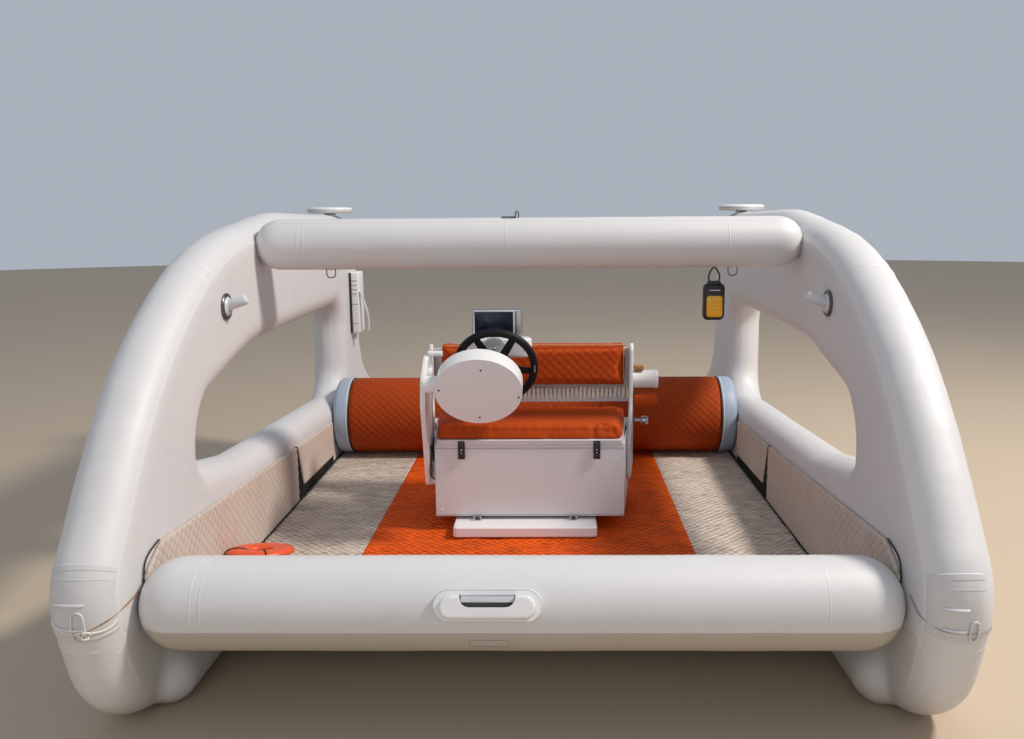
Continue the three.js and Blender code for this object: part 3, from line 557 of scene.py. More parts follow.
def make_screw_tool():
    """Domed screw heads on points, all facing one way."""
    tool = NodeTool("Screws", Radius=0.005, Height=0.002, Facing=(0.0, 0.0, 1.0))
    line = tool.node("GeometryNodeMeshToPoints", {"Mesh": tool.given("Geometry")})
    head = tool.node("GeometryNodeMeshUVSphere", {"Segments": 14, "Rings": 8, "Radius": tool.given("Radius")})
    flat = tool.node("ShaderNodeMath", {0: tool.given("Height"), 1: tool.given("Radius")}, operation="DIVIDE")
    scale = tool.node("ShaderNodeCombineXYZ", {"X": 1.0, "Y": 1.0, "Z": flat})
    squashed = tool.node("GeometryNodeTransform", {"Geometry": head, "Scale": scale})
    turn = tool.node("FunctionNodeAlignRotationToVector", {"Vector": tool.given("Facing")}, axis="Z")
    return tool.finish(tool.node("GeometryNodeInstanceOnPoints", {
        "Points": line, "Instance": squashed, "Rotation": turn}))


def make_lacing_tool():
    """Rope turns wound side by side round a flat rail along X, each leaning a little its own way."""
    tool = NodeTool(
        "Lacing", Turns=90, Start=(0.0, 0.0, 0.0), End=(1.0, 0.0, 0.0), Rope=0.004, Tall=0.022, Deep=0.012,
        Lean=0.16, Seed=7)
    line = tool.node("GeometryNodeCurvePrimitiveLine",
                     {"Start": tool.given("Start"), "End": tool.given("End")})
    spots = tool.node("GeometryNodeCurveToPoints", {"Curve": line, "Count": tool.given("Turns")},
                      mode="COUNT")
    loop = tool.node("GeometryNodeCurvePrimitiveQuadrilateral", {
        "Width": tool.given("Deep"), "Height": tool.given("Tall")})
    soft = tool.node("GeometryNodeFilletCurve", {
        "Curve": loop, "Radius": 0.006, "Count": 3, "Limit Radius": True}, mode="POLY")
    section = tool.node("GeometryNodeCurvePrimitiveCircle", {"Resolution": 7, "Radius": tool.given("Rope")})
    turn = tool.node("GeometryNodeCurveToMesh", {"Curve": soft, "Profile Curve": section})
    upright = tool.node("GeometryNodeTransform", {
        "Geometry": turn, "Rotation": (pi / 2, 0.0, pi / 2)})
    lean = tool.node("FunctionNodeRandomValue", {"Seed": tool.given("Seed")}, data_type="FLOAT")
    less = tool.node("ShaderNodeMath", {0: -1.0, 1: tool.given("Lean")}, operation="MULTIPLY")
    tool.tree.links.new(less.outputs[0], lean.inputs["Min"])
    tool.tree.links.new(tool.given("Lean"), lean.inputs["Max"])
    angles = tool.node("ShaderNodeCombineXYZ", {"Y": lean.outputs["Value"], "Z": lean.outputs["Value"]})
    size = tool.node("FunctionNodeRandomValue", {"Seed": 3, "Min": 0.93, "Max": 1.07}, data_type="FLOAT")
    return tool.finish(tool.node("GeometryNodeInstanceOnPoints", {
        "Points": spots, "Instance": upright, "Rotation": angles, "Scale": size.outputs["Value"]}))


def tool(maker):
    """Each node tool is made once and then used again."""
    if maker not in TOOLS:
        TOOLS[maker] = maker()
    return TOOLS[maker]


def piping(name, paths, radius, finish, sides, closed=False):
    """A round section along paths, not yet on a body."""
    return tool(make_piping_tool).make(
        name, path_mesh(paths, closed), finish, {"Radius": radius, "Sides": sides}, 50.0)


def wire(name, paths, radius, finish, slot, sides=8, closed=False, body="hull"):
    """Cord, welt, rod or groove along paths."""
    return finish_piece(piping(name, paths, radius, finish, sides, closed), slot, body=body)


def screw_heads(name, points, facing, finish, radius, height, slot, body="hull"):
    """Screw heads, buttons and plugs on points, all facing one way."""
    mesh = bpy.data.meshes.new("points")
    mesh.from_pydata([tuple(point) for point in points], [], [])
    piece = tool(make_screw_tool).make(
        name, mesh, finish, {"Radius": radius, "Height": height, "Facing": facing}, 60.0)
    return finish_piece(piece, slot, body=body)


def turned(name, profile, origin, axis, finish, sides, slot, *nodes, body="hull"):
    """A turned piece, such as a knob or a disc."""
    piece = from_bmesh(name, lathe_shape(profile, origin, axis, sides), finish, 38.0)
    return finish_piece(piece, slot, *nodes, body=body)


def built(name, shape, finish, slot, *nodes, body="hull", sharp=40.0):
    """A piece made from a given shape."""
    return finish_piece(from_bmesh(name, shape, finish, sharp), slot, *nodes, body=body)


def rounded(node, name, finish, slot, edge, segments=3, angle=32.0, body="hull"):
    """A frame node shown with its facets merged and its edges rounded."""
    shape = node_shape(node)
    bmesh.ops.dissolve_limit(shape, angle_limit=radians(4.0), verts=shape.verts, edges=shape.edges)
    piece = from_bmesh(name, shape, finish)
    bevel = piece.modifiers.new("Round edges", "BEVEL")
    bevel.width = edge
    bevel.segments = segments
    bevel.limit_method = "ANGLE"
    bevel.angle_limit = radians(angle)
    bevel.harden_normals = False
    weigh = piece.modifiers.new("Even shading", "WEIGHTED_NORMAL")
    weigh.keep_sharp = False
    return finish_piece(settle(piece), slot, node, body=body)


# Finishes

def shade(colour, share):
    """A colour made darker or lighter."""
    return tuple(part * share for part in colour)


class Finish(NodeMaker):
    """A node material, built one step at a time. Even values sit on the shader itself."""

    def __init__(self, name, colour, roughness, **shader):
        self.material = bpy.data.materials.new(name)
        self.material.use_nodes = True
        self.material.diffuse_color = (*colour, 1.0)
        self.tree = self.material.node_tree
        self.shader = self.tree.nodes["Principled BSDF"]
        self.colour = tuple(colour)
        self.shader.inputs["Base Color"].default_value = (*colour, 1.0)
        self.shader.inputs["Roughness"].default_value = roughness
        for key, value in shader.items():
            self.shader.inputs[key.replace("_", " ")].default_value = value
        self.place = self.tree.nodes.new("ShaderNodeTexCoord").outputs["Object"]

    def sums(self, operation, *values):
        return self.node("ShaderNodeMath", dict(enumerate(values)), operation=operation).outputs[0]

    def stretched(self, scale):
        return self.node("ShaderNodeMapping", {"Vector": self.place, "Scale": scale}).outputs[0]

    def noise(self, scale, detail=3.0, vector=None, roughness=0.5):
        return self.node("ShaderNodeTexNoise", {
            "Vector": vector or self.place, "Scale": scale, "Detail": detail, "Roughness": roughness,
        }).outputs[0]

    def span(self, value, low, high, to_low=0.0, to_high=1.0):
        return self.node("ShaderNodeMapRange", {
            "Value": value, "From Min": low, "From Max": high, "To Min": to_low, "To Max": to_high,
        }).outputs[0]

    def wave(self, way, pitch, place=None):
        """0 on evenly spaced planes across a direction, 1 halfway between them."""
        run = self.node("ShaderNodeVectorMath", {
            0: place or self.place, 1: tuple(pi / pitch * part for part in way)}, operation="DOT_PRODUCT")
        return self.sums("ABSOLUTE", self.sums("SINE", run.outputs["Value"]))

    def lattice(self, plane, pitch):
        """Puffed diamonds between two crossing sets of lines in a plane, such as XZ."""
        ways = {"XY": ((1, 1, 0), (1, -1, 0)), "XZ": ((1, 0, 1), (1, 0, -1)), "YZ": ((0, 1, 1), (0, 1, -1))}
        first, second = (tuple(part / sqrt(2) for part in way) for way in ways[plane])
        return self.sums("POWER", self.sums(
            "MULTIPLY", self.wave(first, pitch), self.wave(second, pitch)), PUFF)

    def rolled_lattice(self):
        """The same diamonds on a piece whose map counts them along and round it."""
        flat = self.node("ShaderNodeUVMap", uv_map="Cloth").outputs[0]
        lines = [self.wave(way, 1.0, flat) for way in ((1, 1, 0), (1, -1, 0))]
        return self.sums("POWER", self.sums("MULTIPLY", *lines), PUFF)

    def weave(self, pitch):
        """Crossing threads in all three directions."""
        x, y, z = (self.wave(way, pitch) for way in ((1, 0, 0), (0, 1, 0), (0, 0, 1)))
        return self.sums("ADD", self.sums("MULTIPLY", x, y), self.sums("MULTIPLY", z, self.sums("ADD", x, y)))

    def tint(self, factor, colour):
        """Lays a second colour over the first by a factor."""
        mix = self.node("ShaderNodeMix", {"Factor": factor}, data_type="RGBA", blend_type="MIX")
        base = self.shader.inputs["Base Color"]
        if base.links:
            self.tree.links.new(base.links[0].from_socket, mix.inputs[6])
        else:
            mix.inputs[6].default_value = (*self.colour, 1.0)
        mix.inputs[7].default_value = (*colour, 1.0)
        self.tree.links.new(mix.outputs[2], base)
        return self

    def rough(self, factor, low, high):
        self.tree.links.new(self.span(factor, 0.0, 1.0, low, high), self.shader.inputs["Roughness"])
        return self

    def relief(self, height, distance, strength=1.0):
        """Adds one layer of bump over those before it."""
        bump = self.node("ShaderNodeBump", {"Height": height, "Distance": distance, "Strength": strength})
        normal = self.shader.inputs["Normal"]
        if normal.links:
            self.tree.links.new(normal.links[0].from_socket, bump.inputs["Normal"])
        self.tree.links.new(bump.outputs[0], normal)
        return self

    def grime(self, colour, top, amount):
        """Sand and dust that fade out above a height."""
        up = self.node("ShaderNodeSeparateXYZ", {0: self.place}).outputs[2]
        low = self.span(up, 0.0, top, 1.0, 0.0)
        patchy = self.span(self.noise(7.0, 5.0, roughness=0.65), 0.35, 0.75)
        self.tint(self.sums("MULTIPLY", self.sums("MULTIPLY", low, patchy), amount), colour)
        return self


def skin_finish(name, colour, settings, roughness=0.42, dirt=0.75):
    skin = Finish(name, colour, roughness, Coat_Weight=0.12, Coat_Roughness=0.35)
    cloudy = skin.noise(2.3, 4.0)
    skin.tint(skin.span(cloudy, 0.35, 0.8, 0.0, 0.35), shade(colour, 0.93))
    scuffs = skin.span(skin.noise(26.0, 6.0, roughness=0.7), 0.6, 0.8)
    skin.tint(skin.sums("MULTIPLY", scuffs, 0.16), (0.5, 0.46, 0.42))
    skin.grime(settings.sand, 0.2, dirt)
    skin.rough(skin.noise(14.0, 4.0), roughness - 0.08, roughness + 0.1)
    skin.relief(skin.noise(3.2, 2.0), 0.01, 0.16)
    skin.relief(skin.noise(21.0, 3.0), 0.0016, 0.22)
    skin.relief(skin.weave(0.0011), 0.00012, 0.5)
    return skin.material


def cloth_finish(name, colour, plane, settings, mat=False):
    """Quilted faux leather, or the finer pressed pattern of the mats, with painted shade in their grooves."""
    cloth = Finish(name, colour, 0.72, Specular_IOR_Level=0.22)
    # dark and light tint random tone, and they also give the painted shade and painted highlights marked
    # below
    dark = shade(colour, 0.3 if mat else 0.4)
    light = tuple(min(1.0, part * 1.25) for part in colour)
    if plane == "roll":
        cells = cloth.rolled_lattice()
    else:
        cells = cloth.lattice(plane, settings.mat_pitch if mat else settings.pitch)
    # Darker along the quilting lines: partly the stitching, mostly painted shade in the grooves
    cloth.tint(cloth.span(cells, 0.0, 0.6 if mat else 0.5, 0.95 if mat else 0.8, 0.0), dark)
    cloth.tint(cloth.span(cloth.noise(5.0, 4.0), 0.45, 0.8, 0.0, 0.5), light)
    cloth.tint(cloth.span(cloth.noise(60.0, 5.0, roughness=0.7), 0.5, 0.85, 0.0, 0.35), dark)
    cloth.rough(cloth.noise(30.0, 3.0), 0.6, 0.82)
    if mat:
        crumple = cloth.noise(1.0, 3.0, cloth.stretched((18.0, 46.0, 18.0)))
        cloth.relief(cells, 0.009, 0.8)
        cloth.relief(crumple, 0.012, 1.0)
        # Painted highlights on the crumples' crests and painted shade in their troughs, from the noise that
        # bumps them
        cloth.tint(cloth.span(crumple, 0.5, 0.7, 0.0, 0.5), light)
        cloth.tint(cloth.span(crumple, 0.48, 0.3, 0.0, 0.45), dark)
    cloth.relief(cloth.noise(9.0, 3.0), 0.004, 0.35)
    cloth.relief(cloth.noise(330.0, 2.0), 0.0005, 0.6)
    return cloth.material


def moulding_finish(name, colour, roughness=0.32, scale=90.0):
    plastic = Finish(name, colour, roughness, Coat_Weight=0.2, Coat_Roughness=0.2)
    plastic.tint(plastic.span(plastic.noise(4.0, 4.0), 0.4, 0.8, 0.0, 0.4), shade(colour, 0.9))
    plastic.tint(
        plastic.span(plastic.noise(40.0, 6.0, roughness=0.75), 0.64, 0.82, 0.0, 0.25), shade(colour, 0.55))
    plastic.rough(plastic.noise(18.0, 4.0), roughness - 0.06, roughness + 0.12)
    plastic.relief(plastic.noise(scale, 3.0), 0.0005, 0.35)
    return plastic.material


def metal_finish(name, colour, roughness=0.28):
    metal = Finish(name, colour, roughness, Metallic=1.0)
    lines = metal.noise(14.0, 3.0, metal.stretched((1.0, 1.0, 60.0)))
    metal.tint(metal.span(lines, 0.3, 0.7, 0.0, 0.35), shade(colour, 0.72))
    metal.rough(lines, roughness - 0.06, roughness + 0.14)
    metal.relief(lines, 0.0002, 0.3)
    return metal.material


def rope_finish(name, colour):
    rope = Finish(name, colour, 0.85, Sheen_Weight=0.15)
    strands = rope.wave((0.55, 0.45, 0.7), 0.0016)
    # Painted shade in the grooves between the strands, from the wave that bumps them
    rope.tint(rope.span(strands, 0.0, 0.5, 0.55, 0.0), shade(colour, 0.75))
    rope.tint(rope.span(rope.noise(60.0, 3.0), 0.45, 0.8, 0.0, 0.4), shade(colour, 0.86))
    rope.relief(strands, 0.0006, 0.8)
    return rope.material


def screen_finish(name):
    """Dark display glass with a faint generic chart and dial glow."""
    glass = Finish(name, (0.003, 0.006, 0.018), 0.25, Specular_IOR_Level=0.3)
    glass.tint(glass.span(glass.noise(16.0, 2.0), 0.45, 0.75, 0.0, 0.6), (0.005, 0.022, 0.055))
    glass.tint(glass.span(glass.noise(46.0, 2.0), 0.62, 0.75, 0.0, 0.5), (0.02, 0.09, 0.12))
    glass.rough(glass.noise(50.0, 3.0), 0.2, 0.32)
    return glass.material


def make_finishes(skin, cloth, fittings):
    """Every finish of the boat, by its plain name."""
    FINISHES.update({
        "skin": skin_finish("Air chamber skin", skin.base, skin),
        "tape": skin_finish("Seam tape", shade(skin.base, 1.02), skin, 0.36),
        "patch": skin_finish("Webbing patch", shade(skin.base, 0.92), skin, 0.55),
        # Underside strip: its darker, warmer colour is painted shade and painted ground bounce on a real
        # rubbing strip
        "under": skin_finish("Underside strip with painted shade", skin.under, skin, 0.6, 0.9),
        "deck": skin_finish("Deck fabric", (0.55, 0.54, 0.53), skin, 0.55),
        # Bolster caps: blue-grey, set as dark as they look in shade, so partly painted shade
        "cap": skin_finish("Bolster cap with painted shade", (0.34, 0.41, 0.51), skin, 0.4, 0.2),
        "orange wall": cloth_finish("Orange quilt", cloth.orange, "XZ", cloth),
        "orange flat": cloth_finish("Orange quilt laid flat", cloth.orange, "XY", cloth),
        "orange roll": cloth_finish("Orange quilt on a roll", shade(cloth.orange, 0.75), "roll", cloth),
        # The mat is the upholstery orange brightened 1.75 times: painted sunlight
        "orange mat": cloth_finish("Orange mat with painted sunlight", shade(cloth.orange, 1.75), "XY", cloth, mat=True),
        "beige wall": cloth_finish("Beige quilt", cloth.beige, "YZ", cloth),
        "beige mat": cloth_finish("Beige mat", shade(cloth.beige, 1.15), "XY", cloth, mat=True),
        "welt": moulding_finish("Black welt", (0.012, 0.012, 0.013), 0.55),
        # Wall skirts: black to paint the shade in the gaps between the wall pads
        "skirt": cloth_finish("Black skirt with painted gap shade", (0.008, 0.008, 0.009), "YZ", cloth),
        "white": moulding_finish("White moulding", fittings.white),
        "board": moulding_finish("Console board", fittings.board, 0.36, scale=24.0),
        "base": moulding_finish("Base board", shade(fittings.board, 1.25), 0.36, scale=24.0),
        "grey": moulding_finish("Grey moulding", (0.3, 0.31, 0.33), 0.4),
        "grey pale": moulding_finish("Pale grey moulding", (0.6, 0.61, 0.63), 0.4),
        "dark": moulding_finish("Dark moulding", (0.009, 0.009, 0.01), 0.48),
        "grip": Finish("Wheel grip", (0.004, 0.004, 0.0045), 0.55, Specular_IOR_Level=0.25).material,
        "float": moulding_finish("Float shell", (0.8, 0.085, 0.012), 0.38),
        "amber": moulding_finish("Amber lens", (0.85, 0.42, 0.015), 0.22, scale=160.0),
        "steel": metal_finish("Brushed steel", fittings.steel),
        "chrome": metal_finish("Dark chrome", (0.16, 0.17, 0.18), 0.24),
        "screen": screen_finish("Display glass"),
        "piping": rope_finish("Pale piping", (0.62, 0.36, 0.2)),
        "rope": rope_finish("Rope", (0.92, 0.86, 0.74)),
        "cord": rope_finish("Brown cord", (0.36, 0.17, 0.07)),
    })


# Padding

def swell(piece, grid, settings, cap, hold):
    """Swells a padded piece with air pressure; hold marks points that stay put."""
    even_out(piece, grid)
    start = [vertex.co.copy() for vertex in piece.data.vertices]
    group = piece.vertex_groups.new(name="held")
    group.add([k for k, co in enumerate(start) if hold(co)], 1.0, "REPLACE")
    cloth = piece.modifiers.new("Padding", "CLOTH")
    cloth.settings.quality = 5
    cloth.settings.mass = 0.3
    cloth.settings.use_pressure = True
    cloth.settings.uniform_pressure_force = settings.pressure
    cloth.settings.effector_weights.gravity = 0.0
    cloth.settings.vertex_group_mass = "held"
    scene = bpy.context.scene
    for step in range(1, settings.steps + 1):
        scene.frame_set(step)
    settle(piece, 180.0)
    piece.vertex_groups.clear()
    scene.frame_set(1)
    for vertex, before in zip(piece.data.vertices, start):
        move = vertex.co - before
        if move.length > cap:
            vertex.co = before + move * (cap / move.length)
    piece.data.update()
    return piece


def quilt(piece, plane, pitch, height, facing, border=None):
    """Presses quilting lines into the faces that look one way; border fades it out near the edges."""
    first, second = {"XY": (0, 1), "XZ": (0, 2), "YZ": (1, 2)}[plane]
    facing = Vector(facing)
    root = sqrt(2) * pitch
    normals = [vertex.normal.copy() for vertex in piece.data.vertices]
    for vertex, normal in zip(piece.data.vertices, normals):
        share = max(0.0, normal.dot(facing))
        if share < 0.25:
            continue
        a, b = vertex.co[first], vertex.co[second]
        u = abs(sin(pi * (a + b) / root))
        v = abs(sin(pi * (a - b) / root))
        puff = (u * v) ** PUFF
        fade = border(vertex.co) if border else 1.0
        vertex.co += normal * (puff - 1.0) * height * share * fade
    piece.data.update()
    return piece


def edge_fade(low, high, axes, width):
    """1 inside a box and 0 at its edges, over a width."""
    def fade(co):
        near = min(min(co[k] - low[k], high[k] - co[k]) for k in axes)
        return max(0.0, min(1.0, near / width))
    return fade


def pad_slab(name, low, high, radius, crown, axis, finish):
    """A rounded slab with a slight crown along one axis, ready to be swelled."""
    shape = block_shape(low, high, radius, 4)
    bmesh.ops.subdivide_edges(shape, edges=shape.edges, cuts=2, use_grid_fill=True)
    others = [k for k in range(3) if k != axis]
    middle = [(low[k] + high[k]) / 2 for k in range(3)]
    half = [(high[k] - low[k]) / 2 for k in range(3)]
    for vertex in shape.verts:
        offset = [(vertex.co[k] - middle[k]) / half[k] for k in range(3)]
        dome = (1 - offset[others[0]] ** 2) * (1 - offset[others[1]] ** 2)
        if offset[axis] > 0.1:
            vertex.co[axis] += crown * max(0.0, dome) - crown
    return from_bmesh(name, shape, finish, 180.0)


def surface_of(piece):
    """A search tree of a piece's surface."""
    shape = bmesh.new()
    shape.from_mesh(piece.data)
    tree = BVHTree.FromBMesh(shape)
    shape.free()
    return tree


def laid(tree, point, lift):
    """The spot on a surface nearest to a point, raised by a lift."""
    place, normal, _, _ = tree.find_nearest(point)
    return place + normal * lift


def ripple(piece, amount, scale, seed):
    """Slow unevenness of stretched fabric."""
    shift = Vector((seed * 3.7, seed * 1.3, seed * 2.1))
    normals = [vertex.normal.copy() for vertex in piece.data.vertices]
    for vertex, normal in zip(piece.data.vertices, normals):
        if vertex.co.z > 0.03:
            vertex.co += normal * noise.noise(vertex.co / scale + shift) * amount
    piece.data.update()
    return piece


# Hulls and cross tubes

def air_board(side):
    """The closed air board of one side with its window, and its keel tube, before they are evened out."""
    shape = bmesh.new()
    reach = RIM_RADIUS * pi / 2 + RIM_FLAT
    rows = 9
    faces = ([], [])
    for rim in (RIM, WINDOW):
        rings = []
        for row in range(-rows, rows + 1):
            rings.append([
                shape.verts.new(rim.point(side, mark, reach * row / rows)) for mark in rim.marks[:-1]])
        for near, far in zip(rings, rings[1:]):
            for k in range(len(near)):
                n = (k + 1) % len(near)
                shape.faces.new((near[k], near[n], far[n], far[k]))
        faces[0].append(rings[0])
        faces[1].append(rings[-1])
    for loops in faces:
        edges = [shape.edges.get((ring[k], ring[(k + 1) % len(ring)])) for ring in loops
                 for k in range(len(ring))]
        bmesh.ops.triangle_fill(shape, use_beauty=True, use_dissolve=False, edges=edges)
    bmesh.ops.recalc_face_normals(shape, faces=shape.faces)
    radius = KEEL_RADIUS
    length = KEEL_REAR - KEEL_FRONT
    profile = [(radius * sin(k * pi / 16), radius * (1 - cos(k * pi / 16))) for k in range(9)]
    profile += [(row, length - along) for row, along in reversed(profile)]
    keel = lathe_shape(profile, (side * KEEL_X, KEEL_FRONT, radius), (0, 1, 0), 48)
    return merge_shapes([shape, keel])


def frame_depth(y, z):
    """How far a point lies inside the outline of the air frames."""
    place, _ = RIM.at(RIM.nearest(y, z))
    return (place - Vector((y, z))).length


def frame_face(y, z):
    """The X of an air frame's inner face at a height and length."""
    depth = frame_depth(y, z)
    if depth >= RIM_RADIUS:
        return INNER_HALF
    return FRAME_X - RIM_FLAT - sqrt(RIM_RADIUS ** 2 - (RIM_RADIUS - depth) ** 2)


def chine_reach(angle):
    """How far the bow tube's flat underside stands from its axis, or 0 elsewhere."""
    way = Vector((cos(angle), sin(angle)))
    for (ay, az), (by, bz) in zip(BOW_CHINE, BOW_CHINE[1:]):
        edge = Vector((by - ay, bz - az))
        across = way.x * edge.y - way.y * edge.x
        if abs(across) < 1e-9:
            continue
        far = (ay * edge.y - az * edge.x) / across
        share = (way.x * az - way.y * ay) / -across
        if far > 0 and 0 <= share <= 1:
            return min(far, BOW_CHINE_LIMIT)
    return 0.0


def tube_radius(radius, press, x, angle, chine=False):
    reach = max(radius, chine_reach(angle)) if chine else radius
    dome = INNER_HALF + press - radius
    over = max(0.0, abs(x) - dome)
    return reach * sqrt(max(0.0, radius ** 2 - over ** 2)) / radius


def tube_ends(axis, radius, press, sides, chine=False):
    """For each way round a cross tube, the X at which it meets the air frames."""
    ends = []
    for j in range(sides):
        angle = tau * j / sides
        x = INNER_HALF
        for _ in range(4):
            r = tube_radius(radius, press, x, angle, chine)
            x = frame_face(axis[0] + r * cos(angle), axis[1] + r * sin(angle))
        ends.append(x - 0.0002)
    return ends


def tube_skin(name, axis, radius, press, chine=False):
    """A cross tube whose domed ends are bonded to the air frames."""
    sides = TUBE_SIDES
    ends = tube_ends(axis, radius, press, sides, chine)
    marks = [k / 60 for k in range(-50, 51)]
    tips = [0.86, 0.885, 0.91, 0.935, 0.96, 0.98, 1.0]
    marks = [-t for t in reversed(tips)] + marks + tips

    def spot(i, j):
        angle = tau * j / sides
        x = marks[i] * ends[j]
        r = tube_radius(radius, press, x, angle, chine)
        return x, axis[0] + r * cos(angle), axis[1] + r * sin(angle)

    shape = grid_shape(spot, len(marks), sides, "columns", capped=True)
    piece = from_bmesh(name, shape, "skin", 60.0)
    rims = [[spot(row, j) for j in range(sides)] for row in (0, len(marks) - 1)]
    return piece, rims


def laid_patch(name, tree, spot, rows, columns, lift, finish, rounding=0.0):
    """A thin sheet laid on a surface; spot gives its points from 0..1 each way, seen from outside."""
    def place(i, j):
        u, v = i / (rows - 1), j / (columns - 1)
        if rounding:
            corner_u = max(0.0, abs(u - 0.5) * 2 - (1 - rounding)) / rounding
            corner_v = max(0.0, abs(v - 0.5) * 2 - (1 - rounding)) / rounding
            pull = hypot(corner_u, corner_v)
            if pull > 1.0:
                excess = (1 - 1 / pull) * rounding / 2
                u -= copysign(excess * corner_u, u - 0.5)
                v -= copysign(excess * corner_v, v - 0.5)
        edge = min(i, rows - 1 - i, j, columns - 1 - j)
        return laid(tree, spot(u, v), lift if edge > 0 else -PATCH_TUCK)

    shape = grid_shape(place, rows, columns)
    shape.normal_update()
    wrong = 0
    for face in list(shape.faces)[::5]:
        _, normal, _, _ = tree.find_nearest(face.calc_center_median())
        wrong += 1 if face.normal.dot(normal) < 0 else -1
    if wrong > 0:
        bmesh.ops.reverse_faces(shape, faces=shape.faces)
    return from_bmesh(name, shape, finish, 180.0)


def rim_tape(rim, tree, side, along, across, lift, finish="tape", step=0.02):
    """A tape laid along an air frame's rim, between two marks along it and two across it."""
    rows = max(3, round(abs(along[1] - along[0]) / step) + 1)
    columns = max(4, round(abs(across[1] - across[0]) / 0.012) + 2)

    def spot(u, v):
        return rim.point(side, along[0] + (along[1] - along[0]) * u, across[0] + (across[1] - across[0]) * v)

    return laid_patch("tape", tree, spot, rows, columns, lift, finish)


def ring_tape(tree, axis, radius, x, width, lift):
    """A tape right round a cross tube."""
    def spot(u, v):
        angle = tau * u
        return Vector((x + (v - 0.5) * width, axis[0] + radius * cos(angle), axis[1] + radius * sin(angle)))

    return laid_patch("tape", tree, spot, TUBE_SIDES + 1, 5, lift, "tape")


class BOAT_OT_hulls(bpy.types.Operator):
    """Makes the two air frames, and the seams that run round them and their windows"""
    bl_idname = "boat.hulls"
    bl_label = "Air frames"

    def execute(self, context):
        skin = context.scene.boat_skin
        for name, side in SIDES.items():
            board = from_bmesh(f"frame_skin_{name}", air_board(side), "skin", 180.0)
            even_out(board, skin.grid, 5)
            ripple(board, 0.0022, 0.34, side)
            ripple(board, 0.0008, 0.09, side + 5)
            finish_piece(board, "hull", f"side_frame_{name}")
            SKINS[name] = surface_of(board)
            self.seams(name, side, skin)
        return {"FINISHED"}

    def seams(self, name, side, skin):
        tree = SKINS[name]
        front = RIM.nearest(-1.8, 0.1)
        rear = RIM.nearest(1.9, 0.1)
        tapes = [rim_tape(RIM, tree, side, (front, rear), (0.108, 0.134), skin.tape_lift),
                 rim_tape(WINDOW, tree, side, (0.0, WINDOW.length), (-0.036, 0.036), skin.tape_lift)]
        crossing = RIM.nearest(-1.0, 1.33)
        crossings = [(crossing + shift, 0.009, (-0.17, 0.15), 1.6) for shift in (-0.03, 0.03)]
        crossings += [(RIM.nearest(y, z), 0.01, (-0.15, 0.05), 1.5)
                      for y, z in ((-1.872, 0.3), (-0.3, 1.45), (0.9, 1.49), (1.4, 1.1))]
        for mark, half, across, thick in crossings:
            tapes.append(rim_tape(
                RIM, tree, side, (mark - half, mark + half), across, skin.tape_lift * thick, step=0.006))
        finish_piece(join_pieces(f"frame_seams_{name}", tapes, "tape"), "hull")


